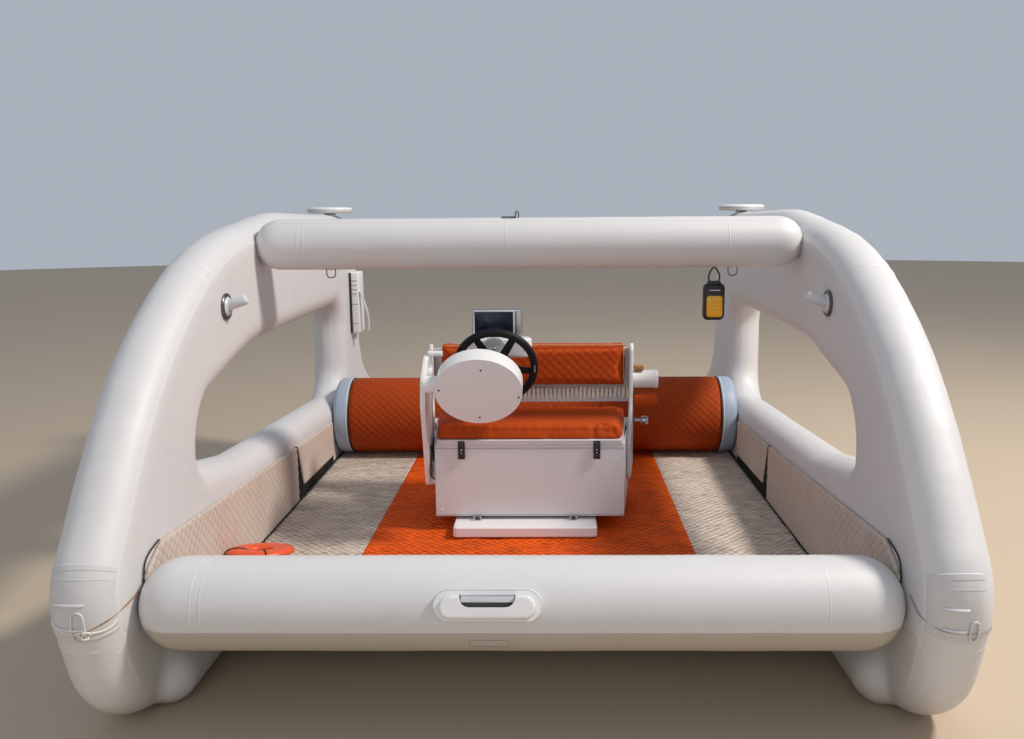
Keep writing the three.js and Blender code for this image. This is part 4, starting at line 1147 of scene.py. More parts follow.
class BOAT_OT_cross_tubes(bpy.types.Operator):
    """Makes the bow tube and the roof bar, with their ring tapes, cover and underside strip"""
    bl_idname = "boat.cross_tubes"
    bl_label = "Cross tubes"

    def execute(self, context):
        bow, bow_rims = tube_skin("bow_tube_skin", BOW_AXIS, BOW_RADIUS, BOW_PRESS, chine=True)
        finish_piece(ripple(bow, 0.0016, 0.22, 3), "hull", "bow_tube")
        roof, roof_rims = tube_skin("roof_bar_skin", ROOF_AXIS, ROOF_RADIUS, ROOF_PRESS)
        finish_piece(ripple(roof, 0.0014, 0.2, 4), "hull", "roof_bar")
        SKINS["bow"] = surface_of(bow)
        SKINS["roof"] = surface_of(roof)
        tapes = [ring_tape(SKINS["bow"], BOW_AXIS, BOW_RADIUS, x, 0.006, 0.0006)
                 for x in (-0.899, -0.872, 0.8405)]
        tapes += [ring_tape(SKINS["roof"], ROOF_AXIS, ROOF_RADIUS, x, 0.007, 0.0007)
                  for x in (-0.902, -0.88, -0.082, 0.785)]
        finish_piece(join_pieces("tube_tapes", tapes, "tape"), "hull")
        cover = self.sheet("roof_cover", "roof", ROOF_AXIS, (-1.02, 1.02), (60, 123), "tape")
        finish_piece(cover, "hull")
        strip = self.sheet("bow_underside", "bow", BOW_AXIS, (-1.056, 1.056), (None, 292), "under")
        finish_piece(strip, "hull")
        tree = surface_of(strip)
        tag = laid_patch("bow_tag", tree, self.tag_spot, 12, 6, 0.0018, "under", 0.3)
        finish_piece(tag, "hull")
        quarters = (0.0, 0.25, 0.5, 0.75, 1.0)
        corners = [(u, 0.0) for u in quarters] + [(1.0, 0.5)]
        corners += [(1.0 - u, 1.0 - v) for u, v in corners]
        edge = [laid(tree, self.tag_spot(u, v), 0.0006) for u, v in corners]
        wire("bow_tag_edge", [edge], 0.001, "grey", "grey", 6, closed=True)
        # Grey welts on the front of the roof bar's ends and black welts on the front of the bow tube's ends:
        # painted shade in the creases where they meet the air frames
        arcs = [piping("welt", [rim[32:64]], 0.0032, "grey", 8) for rim in roof_rims]
        finish_piece(join_pieces("roof_bar_crease_shade", arcs, "grey"), "grey")
        for name, rim, last in (("starboard", bow_rims[0], 52), ("port", bow_rims[1], 62)):
            wire(f"bow_crease_shade_{name}", [rim[30:last]], 0.0028, "welt", "black")
        return {"FINISHED"}

    def tag_spot(self, u, v):
        return Vector((-0.137 + 0.108 * u, BOW_AXIS[0] - 0.112 + 0.018 * v, BOW_AXIS[1] - 0.056 - 0.026 * v))

    def sheet(self, name, tube, axis, reach, degrees, finish):
        """A sheet along a cross tube, between two places on it and two ways round it."""
        last = radians(degrees[1])
        rows = 150
        shares = (0.0, *(0.012 + 0.976 * k / 22 for k in range(23)), 1.0)

        def start(x):
            if degrees[0] is not None:
                return radians(degrees[0])
            angle = pi
            for _ in range(3):
                angle = pi + asin(min(1.0, STRIP_DROP / tube_radius(BOW_RADIUS, BOW_PRESS, x, angle, True)))
            return angle

        def spot(i, j):
            x = reach[0] + (reach[1] - reach[0]) * i / rows
            first = start(x)
            angle = first + (last - first) * shares[j]
            way = Vector((0.0, cos(angle), sin(angle)))
            place = SKINS[tube].ray_cast(Vector((x, *axis)) + way * 0.3, -way)[0]
            inside = 0 < i < rows and 0 < j < len(shares) - 1
            return place + way * (SHEET_LIFT if inside else -SHEET_TUCK)

        shape = grid_shape(spot, rows + 1, len(shares))
        shape.normal_update()
        if sum(face.normal.z for face in shape.faces) * (1 if degrees[0] else -1) < 0:
            bmesh.ops.reverse_faces(shape, faces=shape.faces)
        return from_bmesh(name, shape, finish, 180.0)


class BOAT_OT_nose_patches(bpy.types.Operator):
    """Makes the webbing patches on the noses, their straps and rings, and the cords tied there"""
    bl_idname = "boat.nose_patches"
    bl_label = "Nose patches"

    def execute(self, context):
        for name, side in SIDES.items():
            self.patch(name, side)
        self.mooring_cords()
        self.lashing()
        return {"FINISHED"}

    def patch(self, name, side):
        tree = SKINS[name]
        low = RIM.nearest(-1.862, 0.355)
        high = RIM.nearest(-1.862, 0.565 if side < 0 else 0.545)
        outer = -0.115 if side < 0 else -0.05
        layers = (((low, high), 0.002, 0.02), ((high - 0.018, high + 0.004), 0.0029, 0.004),
                  ((high - 0.046, high - 0.034), 0.0026, 0.004), ((low - 0.004, low + 0.012), 0.0028, 0.004))
        sheets = [rim_tape(RIM, tree, side, reach, (outer, 0.118), lift, "patch", step)
                  for reach, lift, step in layers]
        finish_piece(join_pieces(f"nose_patch_{name}", sheets, "patch"), "hull")
        crease = [(low - 0.004, 0.128), (low - 0.034, 0.132), (low - 0.062, 0.15), (low - 0.084, 0.185),
                  (low - 0.098, 0.232)]
        tip = [(low - 0.034, 0.132), (low - 0.062, 0.108), (low - 0.078, 0.088)]
        lines = [smooth_path([laid(tree, RIM.point(side, *mark), 0.0006) for mark in seam], 8)
                 for seam in (crease, tip)]
        wire(f"nose_crease_{name}", lines, 0.0018, "tape", "hull")
        bars = []
        span = (-0.075, 0.03) if side < 0 else (0.002, 0.062)
        for share in (0.18, 0.5):
            mark = low + (high - low) * share
            path = [laid(tree, RIM.point(side, mark, span[0] + (span[1] - span[0]) * k / 14), 0.0042)
                    for k in range(15)]
            path[0] = laid(tree, path[0], 0.001)
            path[-1] = laid(tree, path[-1], 0.001)
            bars.append(piping("bar", [path], 0.004, "tape", 10))
        finish_piece(join_pieces(f"nose_ridges_{name}", bars, "tape"), "hull")
        mark = low + (high - low) * 0.12
        middle, size = (0.012, 1.0) if side < 0 else (-0.016, 0.66)
        loop = [(-0.013, 0.055), (-0.017, 0.02), (-0.015, -0.012), (0.0, -0.024), (0.015, -0.012),
                (0.017, 0.02), (0.013, 0.055), (0.0, 0.064)]
        ring = smooth_path([laid(tree, RIM.point(side, mark + up * size, middle + out * size), 0.0058)
                            for out, up in loop], 5)
        wire(f"nose_loop_{name}", [ring], 0.0028, "tape", "hull", 10, closed=True)

    def laid_cord(self, name, tree, side, radius, finish, spots, **facts):
        """A cord that lies on a nose, through marks along and across its rim."""
        path = smooth_path([laid(tree, RIM.point(side, *spot), radius * 1.15) for spot in spots], 4)
        cord = piping(name, [path], radius, finish, 10)
        finish_piece(cord, "rope")

    def mooring_cords(self):
        tree = SKINS["starboard"]
        knot = RIM.nearest(-1.862, 0.385)
        end = 0.018
        self.laid_cord("nose_line", tree, -1, 0.0022, "rope", [
            (knot + 0.001, 0.012), (knot, -0.01), (knot + 0.002, -0.035), (knot + 0.003, -0.065),
            (knot + 0.003, -0.1), (knot + 0.001, -0.135), (knot - 0.002, -0.17)], far_end="knot", lay="taut")
        self.laid_cord("nose_lanyard", tree, -1, 0.0021, "cord", [
            (knot + 0.004, end + 0.01), (knot + 0.022, 0.085), (knot + 0.036, 0.16), (knot + 0.046, 0.232)],
            far_end="object", lay="taut")
        self.laid_cord("nose_tail", tree, -1, 0.0024, "rope", [
            (knot, end + 0.008), (knot - 0.002, 0.045), (knot - 0.005, 0.07), (knot - 0.002, 0.092),
            (knot + 0.01, 0.112)], far_end="knot", lay="loose")
        coils = []
        turns = ((0.0, 0.0, 0.2), (0.004, 0.013, 1.0), (-0.01, 0.008, 1.9))
        for k, (along, across, turn) in enumerate(turns):
            centre = laid(tree, RIM.point(-1, knot + along, end + across), 0.0055)
            _, normal, _, _ = tree.find_nearest(centre)
            lie = Vector((0, 0, 1)).rotation_difference(normal).to_matrix()
            tip = Matrix.Rotation(turn, 3, "X")
            coils.append([
                centre + lie @ tip @ Vector((0.0085 * cos(a), 0.0062 * sin(a), 0.0016 * sin(3 * a + k)))
                for a in around(20)])
        wire("nose_knot", coils, 0.0026, "rope", "rope", closed=True)

    def lashing(self):
        tree = SKINS["port"]
        low = RIM.nearest(-1.862, 0.352)
        tip = laid(tree, RIM.point(1, low + 0.012, -0.14), 0.004)
        bend = [tip, tip + Vector((0.006, 0.006, 0.012)), tip + Vector((0.004, 0.014, 0.022)),
                tip + Vector((-0.004, 0.016, 0.012)), tip + Vector((-0.003, 0.01, 0.0))]
        hook = piping("nose_hook", [smooth_path(bend, 5)], 0.0036, "dark", 10)
        finish_piece(hook, "black")
        self.laid_cord("nose_lashing", tree, 1, 0.002, "grey", [
            (low + 0.075, 0.2), (low + 0.048, 0.165), (low + 0.032, 0.125), (low + 0.026, 0.06),
            (low + 0.028, 0.0), (low + 0.029, -0.04), (low + 0.018, -0.085), (low + 0.01, -0.135)],
            far_end="fitting", lay="taut", with_pieces=[hook])


# Floor and walls

def cloth_slab(name, low, high, step, height, finish):
    """A flat mat whose top follows a height function, with straight sides and a closed bottom."""
    rows = max(2, round((high[0] - low[0]) / step) + 1)
    columns = max(2, round((high[1] - low[1]) / step) + 1)

    def spot(i, j):
        x = low[0] + (high[0] - low[0]) * i / (rows - 1)
        y = low[1] + (high[1] - low[1]) * j / (columns - 1)
        edge = min(x - low[0], high[0] - x, y - low[1], high[1] - y)
        roll = 0.003 * max(0.0, 1 - edge / 0.008) ** 2
        return x, y, high[2] - roll - height(x, y)

    shape = grid_shape(spot, rows, columns)
    rim = [edge for edge in shape.edges if edge.is_boundary]
    down = bmesh.ops.extrude_edge_only(shape, edges=rim)["geom"]
    lowered = [part for part in down if isinstance(part, bmesh.types.BMVert)]
    for vertex in lowered:
        vertex.co.z = low[2]
    bmesh.ops.contextual_create(shape, geom=[
        part for part in down if isinstance(part, bmesh.types.BMEdge) and part.is_boundary])
    bmesh.ops.recalc_face_normals(shape, faces=shape.faces)
    return from_bmesh(name, shape, finish, 50.0)


def wrinkle(x, y, seed, amount):
    """Soft folds pressed into a mat, mostly across the boat."""
    folds = noise.noise(Vector((x * 2.2 + seed, y * 7.0, seed)))
    fine = noise.noise(Vector((x * 11.0, y * 24.0 + seed, 3.0)))
    return amount * max(0.0, 0.62 + 0.6 * folds + 0.6 * fine)


class BOAT_OT_floor(bpy.types.Operator):
    """Makes the deck, its three quilted mats and the transom board"""
    bl_idname = "boat.floor"
    bl_label = "Floor"

    def execute(self, context):
        rounded("deck", "deck_skin", "deck", "deck", 0.012)
        for node, finish, slot, seed in (
                ("mat_centre", "orange mat", "orange", 1.0), ("mat_starboard", "beige mat", "beige", 4.0),
                ("mat_port", "beige mat", "beige", 8.0)):
            low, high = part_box(node)
            mat = cloth_slab(f"{node}_cloth", low, high, 0.0105,
                             lambda x, y, seed=seed: wrinkle(x, y, seed, 0.006), finish)
            finish_piece(mat, slot, node)
        rounded("transom", "transom_board", "board", "board", 0.006)
        drains = [(x, 1.2172, 0.14) for x in (-0.8, 0.8)]
        screw_heads("transom_plugs", drains, (0, 1, 0), "dark", 0.022, 0.01, "black")
        return {"FINISHED"}


class BOAT_OT_wall_quilts(bpy.types.Operator):
    """Makes the quilted covers on the inner walls and their edging"""
    bl_idname = "boat.wall_quilts"
    bl_label = "Wall quilts"

    def execute(self, context):
        cloth = context.scene.boat_cloth
        for name, side in SIDES.items():
            inward = (-side, 0, 0)
            for part in ("fore", "aft"):
                node = f"wall_pad_{part}_{name}"
                pad = fine_skin(node, f"{node}_quilt", "beige wall", 0.0062, 2)
                quilt(pad, "YZ", cloth.pitch, cloth.puff * 1.25, inward)
                finish_piece(pad, "beige", node)
            nose = [(side * 1.07, y, z) for y, z in (
                (-1.56, 0.5345), (-1.62, 0.5225), (-1.655, 0.505), (-1.672, 0.475), (-1.678, 0.43),
                (-1.68, 0.38))]
            wire(f"wall_edging_{name}", [smooth_path(nose, 5)], 0.0026, "welt", "black")
        return {"FINISHED"}


# Upholstery

class BOAT_OT_bolster(bpy.types.Operator):
    """Makes the quilted stern bolster with its end caps and piping"""
    bl_idname = "boat.bolster"
    bl_label = "Stern bolster"

    def execute(self, context):
        cloth = context.scene.boat_cloth
        y0, z0 = BOLSTER_AXIS
        half = BOLSTER_HALF
        radius = BOLSTER_RADIUS - 0.0015
        sides = 200
        rows = 300
        girth = tau * radius
        root = girth / round(girth / (sqrt(2) * cloth.pitch))

        def spot(i, j):
            x = -half + 2 * half * i / (rows - 1)
            along = girth * j / sides
            near = half - abs(x)
            u = abs(sin(pi * (x + along) / root))
            v = abs(sin(pi * (x - along) / root))
            puff = (u * v) ** PUFF - 1.0
            seam = min(1.0, near / 0.03)
            r = radius - 0.01 * (1 - seam) ** 2 + puff * cloth.puff * 1.3 * seam
            for cut in BOLSTER_SEAMS:
                r -= 0.006 * exp(-((x - cut) / 0.006) ** 2)
            angle = tau * j / sides
            return x, y0 + r * cos(angle), z0 + r * sin(angle)

        shape = grid_shape(spot, rows, sides, "columns", capped=True)
        roll = from_bmesh("bolster_cover", shape, "orange roll", 60.0)
        layer = roll.data.uv_layers.new(name="Cloth")
        for face in roll.data.polygons:
            middle = atan2(face.center.z - z0, face.center.y - y0)
            for loop in face.loop_indices:
                place = roll.data.vertices[roll.data.loops[loop].vertex_index].co
                angle = atan2(place.z - z0, place.y - y0)
                angle += tau * round((middle - angle) / tau)
                layer.data[loop].uv = (place.x / root, angle * radius / root)
        finish_piece(roll, "orange", "stern_bolster")
        for name, side in SIDES.items():
            self.cap(name, side, y0, z0)
        return {"FINISHED"}

    def cap(self, name, side, y0, z0):
        start = side * (BOLSTER_HALF + 0.0006)
        depth = INNER_HALF - 0.0006 - abs(start)
        r = BOLSTER_RADIUS - 0.0012
        profile = [(0.0, 0.0), (r * 0.6, 0.0), (r - 0.006, 0.0), (r - 0.002, 0.003), (r, 0.01), (r, 0.056),
                   (r - 0.002, 0.064), (r - 0.007, 0.071), (r - 0.016, 0.077), (r - 0.029, depth - 0.002),
                   (r - 0.04, depth), (r * 0.5, depth), (0.0, depth)]
        turned(f"bolster_cap_{name}_moulding", profile, (start, y0, z0), (side, 0, 0), "cap", 96, "cap",
               f"bolster_cap_{name}")
        for label, x, finish, radius in (
                ("welt", start - side * 0.001, "welt", r - 0.002),
                ("piping", start + side * 0.0085, "tape", r - 0.0015)):
            ring = [(x, y0 + radius * cos(a), z0 + radius * sin(a)) for a in around(96)]
            wire(f"bolster_{label}_{name}", [ring], 0.003, finish, "black" if label == "welt" else "cap",
                 closed=True)


class BOAT_OT_seat(bpy.types.Operator):
    """Swells and quilts the seat cushion on the lid"""
    bl_idname = "boat.seat"
    bl_label = "Seat cushion"

    def execute(self, context):
        cloth = context.scene.boat_cloth
        low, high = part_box("seat_cushion")
        pad = from_bmesh("seat_pad", node_shape("seat_cushion"), "orange flat", 180.0)
        for vertex in pad.data.vertices:
            vertex.co.z = min(vertex.co.z, high[2] - 0.01)
        swell(pad, 0.0062, cloth, 0.012, hold=lambda co: co.z < low[2] + 0.006)
        for vertex in pad.data.vertices:
            vertex.co.z = max(vertex.co.z, low[2])
            edge = max(0.0, 1 - (vertex.co.y - low[1]) / 0.045)
            gathered = 0.35 + 1.4 * max(0.0, vertex.co.x / high[0])
            pucker = noise.noise(Vector((vertex.co.x * 30.0 + vertex.co.z * 12.0, 2.0, vertex.co.z * 22.0)))
            tuck = max(0.0, noise.noise(Vector((vertex.co.x * 17.0, 5.0, vertex.co.z * 3.0))) - 0.18)
            vertex.co.y += edge * gathered * (0.005 * max(0.0, pucker) + 0.022 * tuck)
            vertex.co.z -= edge * gathered * 0.01 * tuck
        pad.data.update()
        fade = edge_fade(low, high, (0, 1), 0.035)
        quilt(pad, "XY", cloth.pitch, cloth.puff, (0, 0, 1), fade)
        finish_piece(pad, "orange", "seat_cushion", body="lid")
        return {"FINISHED"}


class BOAT_OT_backrest(bpy.types.Operator):
    """Swells the backrest and the side pad, and makes the laced rail and the board behind them"""
    bl_idname = "boat.backrest"
    bl_label = "Backrest"

    def execute(self, context):
        cloth = context.scene.boat_cloth
        low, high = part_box("backrest_cushion")
        pad = from_bmesh("backrest_pad", node_shape("backrest_cushion"), "orange wall", 180.0)
        swell(pad, 0.006, cloth, 0.01, hold=lambda co: co.y > high[1] - 0.006)
        for vertex in pad.data.vertices:
            vertex.co.y = min(vertex.co.y, high[1])
        fade = edge_fade(low, high, (0, 2), 0.022)
        quilt(pad, "XZ", cloth.pitch, cloth.puff, (0, -1, 0), fade)
        finish_piece(pad, "orange", "backrest_cushion")
        edge = [(x, low[1] + 0.004, z) for x, z in (
            (low[0] + 0.025, high[2] - 0.0055), (0.0, high[2] - 0.004), (high[0] - 0.024, high[2] - 0.0045),
            (high[0] - 0.008, high[2] - 0.014), (high[0] - 0.0045, high[2] - 0.06),
            (high[0] - 0.0045, low[2] + 0.03))]
        wire("backrest_piping", [smooth_path(edge, 12)], 0.0022, "piping", "orange")

        low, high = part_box("side_pad")
        side = pad_slab("side_cushion", low, high, 0.018, 0.004, 2, "orange flat")
        swell(side, 0.005, cloth, 0.006, hold=lambda co: co.x < low[0] + 0.008)
        quilt(side, "XY", cloth.pitch * 0.8, cloth.puff * 0.8, (0, 0, 1))
        finish_piece(side, "orange", "side_pad")

        low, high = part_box("backrest_lacing")
        middle = [(low[k] + high[k]) / 2 for k in range(3)]
        lacing = tool(make_lacing_tool).make("backrest_ropes", path_mesh([]), "rope", {
            "Turns": 46, "Start": (low[0] + 0.009, middle[1], middle[2]),
            "End": (high[0] - 0.009, middle[1], middle[2]), "Rope": 0.0074,
            "Tall": high[2] - low[2] - 0.014, "Deep": high[1] - low[1] - 0.014, "Lean": 0.08, "Seed": 11})
        finish_piece(lacing, "rope", "backrest_lacing")
        rounded("backrest_board", "backrest_panel", "board", "board", 0.004)
        return {"FINISHED"}


# Console and helm

class BOAT_OT_console(bpy.types.Operator):
    """Makes the seat box, its lid, latches, sides, base and feet"""
    bl_idname = "boat.console"
    bl_label = "Console"

    def execute(self, context):
        for node, name, body, edge in (
                ("seat_box", "seat_box_shell", "hull", 0.0025), ("seat_lid", "seat_lid_board", "lid", 0.003),
                ("base_plate", "base_plate_slab", "hull", 0.004),
                ("side_panel_starboard", "cheek_starboard", "hull", 0.003),
                ("side_panel_port", "cheek_port", "hull", 0.003)):
            finish = "base" if node == "base_plate" else "board"
            rounded(node, name, finish, "board", edge, body=body)
        lines = [[(x, BOX_FRONT - 0.0004, z) for x in (-0.3845, 0.0, 0.3845)] for z in (0.5445, 0.265)]
        wire("box_grooves", lines, 0.0012, "grey", "grey", 6)
        bead = [[(x, -0.5406, 0.5775) for x in (-0.372, 0.0, 0.372)]]
        wire("lid_bead", bead, 0.0016, "tape", "board", body="lid")
        self.latches()
        self.feet()
        corners = [(x, BOX_FRONT - 0.0002, z) for x in (-0.36, 0.36) for z in (0.285, 0.5)]
        screw_heads("box_screws", corners, (0, -1, 0), "white", 0.0042, 0.0016, "board")
        places = ((-0.29, 0.395), (-0.29, 0.5), (-0.045, 0.385), (-0.045, 0.6), (-0.055, 0.86))
        for name, side in SIDES.items():
            spots = [(side * (0.386 + (y - BOX_FRONT) * tan(CHEEK_FLARE) + 0.0187 / cos(CHEEK_FLARE)), y, z)
                     for y, z in places]
            screw_heads(f"cheek_screws_{name}", spots, (side, -0.119, 0), "steel",
                        context.scene.boat_fittings.screw_radius, 0.002, "steel")
        return {"FINISHED"}

    def latches(self):
        for name in SIDES:
            node = f"seat_latch_{name}"
            low, high = (Vector(corner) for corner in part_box(node))
            x = (low.x + high.x) / 2
            y, z = low.y, low.z
            shapes = [
                block_shape((low.x, y + 0.003, z), high, 0.0018),
                block_shape((x - 0.01, y + 0.0006, z + 0.03), (x + 0.01, y + 0.005, high.z - 0.006), 0.002),
                block_shape((x - 0.012, y, z + 0.004), (x + 0.012, y + 0.0046, z + 0.022), 0.002)]
            built(f"latch_{name}", merge_shapes(shapes), "dark", "black", node, body="lid")
            pin = [(x, y + 0.0006, z + 0.0385), (x, y + 0.0026, z + 0.026)]
            screw_heads(f"latch_pin_{name}", pin, (0, -1, 0), "steel", 0.0034, 0.0018, "steel", body="lid")

    def feet(self):
        clear, bolts = [], []
        for x in (-0.215, 0.179):
            for y in (-0.5475, -0.118):
                for left, right, back, top, edge in (
                        (-0.017, -0.011, 0.008, 0.264, 0.0012), (0.011, 0.017, 0.008, 0.264, 0.0012),
                        (-0.017, 0.017, 0.01, 0.2475, 0.001)):
                    clear.append(block_shape((x + left, y - 0.004, 0.2446), (x + right, y + back, top), edge))
                bolts.append((x, y + 0.001, 0.253))
        built("rail_clamps", merge_shapes(clear), "steel", "steel")
        screw_heads("rail_bolts", bolts, (0, -1, 0), "dark", 0.0065, 0.006, "black")


def shaft(distance, out=0.0, up=0.0):
    """A point of the steering wheel's own frame: along its shaft, out to port and up its face."""
    c, s = cos(WHEEL_TILT), sin(WHEEL_TILT)
    return WHEEL_CENTRE + Vector((out, c * distance - s * up, s * distance + c * up))


SHAFT = Vector((0, cos(WHEEL_TILT), sin(WHEEL_TILT)))


class BOAT_OT_helm(bpy.types.Operator):
    """Makes the steering drum, arm, wheel, lever, binnacle and display"""
    bl_idname = "boat.helm"
    bl_label = "Helm"

    def execute(self, context):
        for node, name, edge, segments, angle in (
                ("helm_drum", "steering_drum", 0.013, 5, 40), ("helm_arm", "steering_arm", 0.003, 2, 45),
                ("binnacle", "binnacle_moulding", 0.003, 2, 45),
                ("throttle_lever", "throttle_moulding", 0.003, 2, 45)):
            rounded(node, name, "white", "plastic", edge, segments, angle)
        self.drum_face()
        self.wheel()
        self.display()
        self.arm_loop()
        return {"FINISHED"}

    def drum_point(self, distance, out, up):
        return shaft(distance, out - 0.058, up - 0.015)

    def drum_face(self):
        face = -0.16
        ring = [self.drum_point(face + 0.0045, 0.162 * cos(a), 0.138 * sin(a)) for a in around(96)]
        wire("drum_rim", [ring], 0.002, "white", "plastic", closed=True)
        spots = [(-0.15, 0.007), (0.013, 0.095), (0.152, -0.025), (0.0, -0.116)]
        heads = [self.drum_point(face - 0.0004, out, up) for out, up in spots]
        screw_heads("drum_screws", heads, tuple(-SHAFT), "dark", 0.0042, 0.0016, "black")

    def wheel(self):
        radius, grip, ridges = 0.152, 0.0152, 44
        rows, columns = 96, 20

        def rim(i, j):
            a = tau * i / rows
            b = tau * j / columns
            bump = 0.001 * sin(a * ridges) * max(0.0, -cos(b))
            r = radius + (grip + bump) * cos(b)
            return shaft((grip + bump) * sin(b), r * cos(a), r * sin(a))

        shapes = [grid_shape(rim, rows, columns, "rows and columns")]
        for degrees in (-8, 60, 120, 188):
            spoke = block_shape((0.02, -0.0195, -0.0044), (radius, 0.0195, 0.0044), 0.0038, 3)
            for vertex in spoke.verts:
                share = vertex.co.x / radius
                vertex.co.y *= 1.0 - 0.32 * share
                vertex.co.z -= 0.01 * sin(pi * min(1.0, share))
            turn = Matrix.Rotation(radians(degrees), 3, "Z")
            for vertex in spoke.verts:
                local = turn @ vertex.co
                vertex.co = shaft(local.z, local.x, local.y)
            bmesh.ops.recalc_face_normals(spoke, faces=spoke.faces)
            shapes.append(spoke)
        hub_profile = [(0.0, -0.022), (0.022, -0.022), (0.028, -0.018), (0.034, 0.01), (0.033, 0.018),
                       (0.026, 0.022), (0.0, 0.022)]
        shapes.append(lathe_shape(hub_profile, WHEEL_CENTRE, SHAFT, 40))
        built("wheel_moulding", merge_shapes(shapes), "grip", "black", "steering_wheel", body="wheel")
        centre = [(0.0, 0.0), (0.013, 0.0), (0.0145, -0.0015), (0.013, -0.003), (0.0, -0.0036)]
        turned("wheel_badge", centre, shaft(-0.0215), SHAFT, "steel", 32, "steel", body="wheel")
        mark = [shaft(-0.0156, (radius + 0.002) * cos(a), (radius + 0.002) * sin(a))
                for a in (radians(-6 + k) for k in range(13))]
        wire("wheel_mark", [mark], 0.003, "steel", "steel", body="wheel")

    def display(self):
        rounded("display_case", "display_shell", "steel", "steel", 0.007, 4)
        low, high = (Vector(corner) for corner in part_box("display_screen"))
        shape = block_shape(low + Vector((0, 0.0008, 0)), high, 0.0012)
        built("display_glass", shape, "screen", "screen", "display_screen")
        y = low.y + 0.0018
        left, right, foot, head = low.x - 0.003, high.x + 0.003, low.z - 0.003, high.z + 0.003
        ring = [(left, y, foot), (right, y, foot), (right, y, head), (left, y, head)]
        wire("display_bezel", [ring], 0.003, "tape", "plastic", closed=True)
        groove = [(-0.05, -0.5066, z) for z in (1.003, 1.05, 1.098)]
        wire("display_groove", [groove], 0.0022, "dark", "black")
        self.gauge()
        post = [(0.0, 0.0), (0.016, 0.0), (0.014, 0.006), (0.013, 0.014), (0.0, 0.014)]
        for letter, x in (("a", -0.19), ("b", -0.06)):
            turned(f"display_foot_{letter}", post, (x, -0.48, 0.99), (0, 0, 1), "dark", 24, "black")

    def gauge(self):
        """A small grooved half-round plate on the front of the binnacle, over a round button."""
        outline = [(0.0435 * cos(a), 0.031 * sin(a)) for a in (pi * k / 20 for k in range(21))]
        shape = grid_shape(
            lambda i, j: (GAUGE_X + outline[j][0], (-0.56, -0.5545)[i], 0.97 + outline[j][1]), 2, 21,
            "columns", capped=True)
        built("gauge_plate", shape, "grey pale", "plastic")
        lines = [[(GAUGE_X + x, -0.5604, z) for x in (-half, half)]
                 for half, z in ((0.034, 0.9775), (0.03, 0.985), (0.022, 0.9925))]
        wire("gauge_grooves", lines, 0.0012, "grey", "grey", 6)
        screw_heads("gauge_button", [(GAUGE_X, -0.5552, 0.955)], (0, -1, 0), "steel", 0.009, 0.006, "steel")

    def arm_loop(self):
        loop = [(-0.4335, y, z) for y, z in (
            (-0.455, 0.56), (-0.43, 0.6), (-0.42, 0.65), (-0.435, 0.7), (-0.47, 0.715), (-0.5, 0.69),
            (-0.512, 0.64), (-0.5, 0.585))]
        path = smooth_path(loop + loop[:1], 6)[:-1]
        wire("arm_loop", [path], 0.005, "white", "plastic", 10, closed=True)
        band = block_shape((-0.4365, -0.535, 0.52), (-0.4085, -0.43, 0.534), 0.0025)
        built("arm_band", band, "dark", "black")
        routes = (
            ((-0.405, -0.5, 0.56), (-0.398, -0.515, 0.53), (-0.4, -0.54, 0.495), (-0.404, -0.545, 0.455),
             (-0.4, -0.53, 0.425), (-0.392, -0.515, 0.41)),
            ((-0.402, -0.545, 0.56), (-0.396, -0.54, 0.525), (-0.402, -0.52, 0.49), (-0.398, -0.53, 0.45),
             (-0.396, -0.545, 0.428), (-0.39, -0.525, 0.415)))
        for number, route in enumerate(routes, 1):
            wire(f"helm_cable_{number}", [smooth_path(route, 6)], 0.003, "dark", "black", 10)


# Fittings

class BOAT_OT_lantern(bpy.types.Operator):
    """Makes the amber rescue light that hangs under the roof bar"""
    bl_idname = "boat.lantern"
    bl_label = "Rescue light"

    def execute(self, context):
        x, y = 0.745, ROOF_AXIS[0]
        case = block_shape((x - 0.043, y - 0.028, 1.055), (x + 0.043, y + 0.028, 1.203), 0.02, 5)
        cap = block_shape((x - 0.026, y - 0.02, 1.196), (x + 0.026, y + 0.02, 1.2125), 0.006, 3)
        built("lantern_case", merge_shapes([case, cap]), "dark", "lantern", "lantern")
        lens = block_shape((x - 0.034, y - 0.0325, 1.066), (x + 0.034, y + 0.0325, 1.158), 0.014, 4)
        built("lantern_lens", lens, "amber", "lantern")
        ridges = [[(x - 0.03, y - 0.0325, z), (x + 0.03, y - 0.0325, z)]
                  for z in (1.085, 1.1, 1.115, 1.13)]
        wire("lantern_ridges", ridges, 0.0018, "amber", "lantern")
        line = [(x - 0.02, y - 0.0282, 1.176), (x + 0.02, y - 0.0282, 1.176)]
        wire("lantern_mark", [line], 0.002, "tape", "plastic")
        strap = smooth_path([(x + out, y, z) for out, z in (
            (-0.016, 1.205), (-0.022, 1.228), (-0.014, 1.252), (0.0, 1.2665), (0.014, 1.252), (0.022, 1.228),
            (0.016, 1.205))], 6)
        wire("lantern_strap", [strap], 0.0034, "dark", "black", 10)
        return {"FINISHED"}


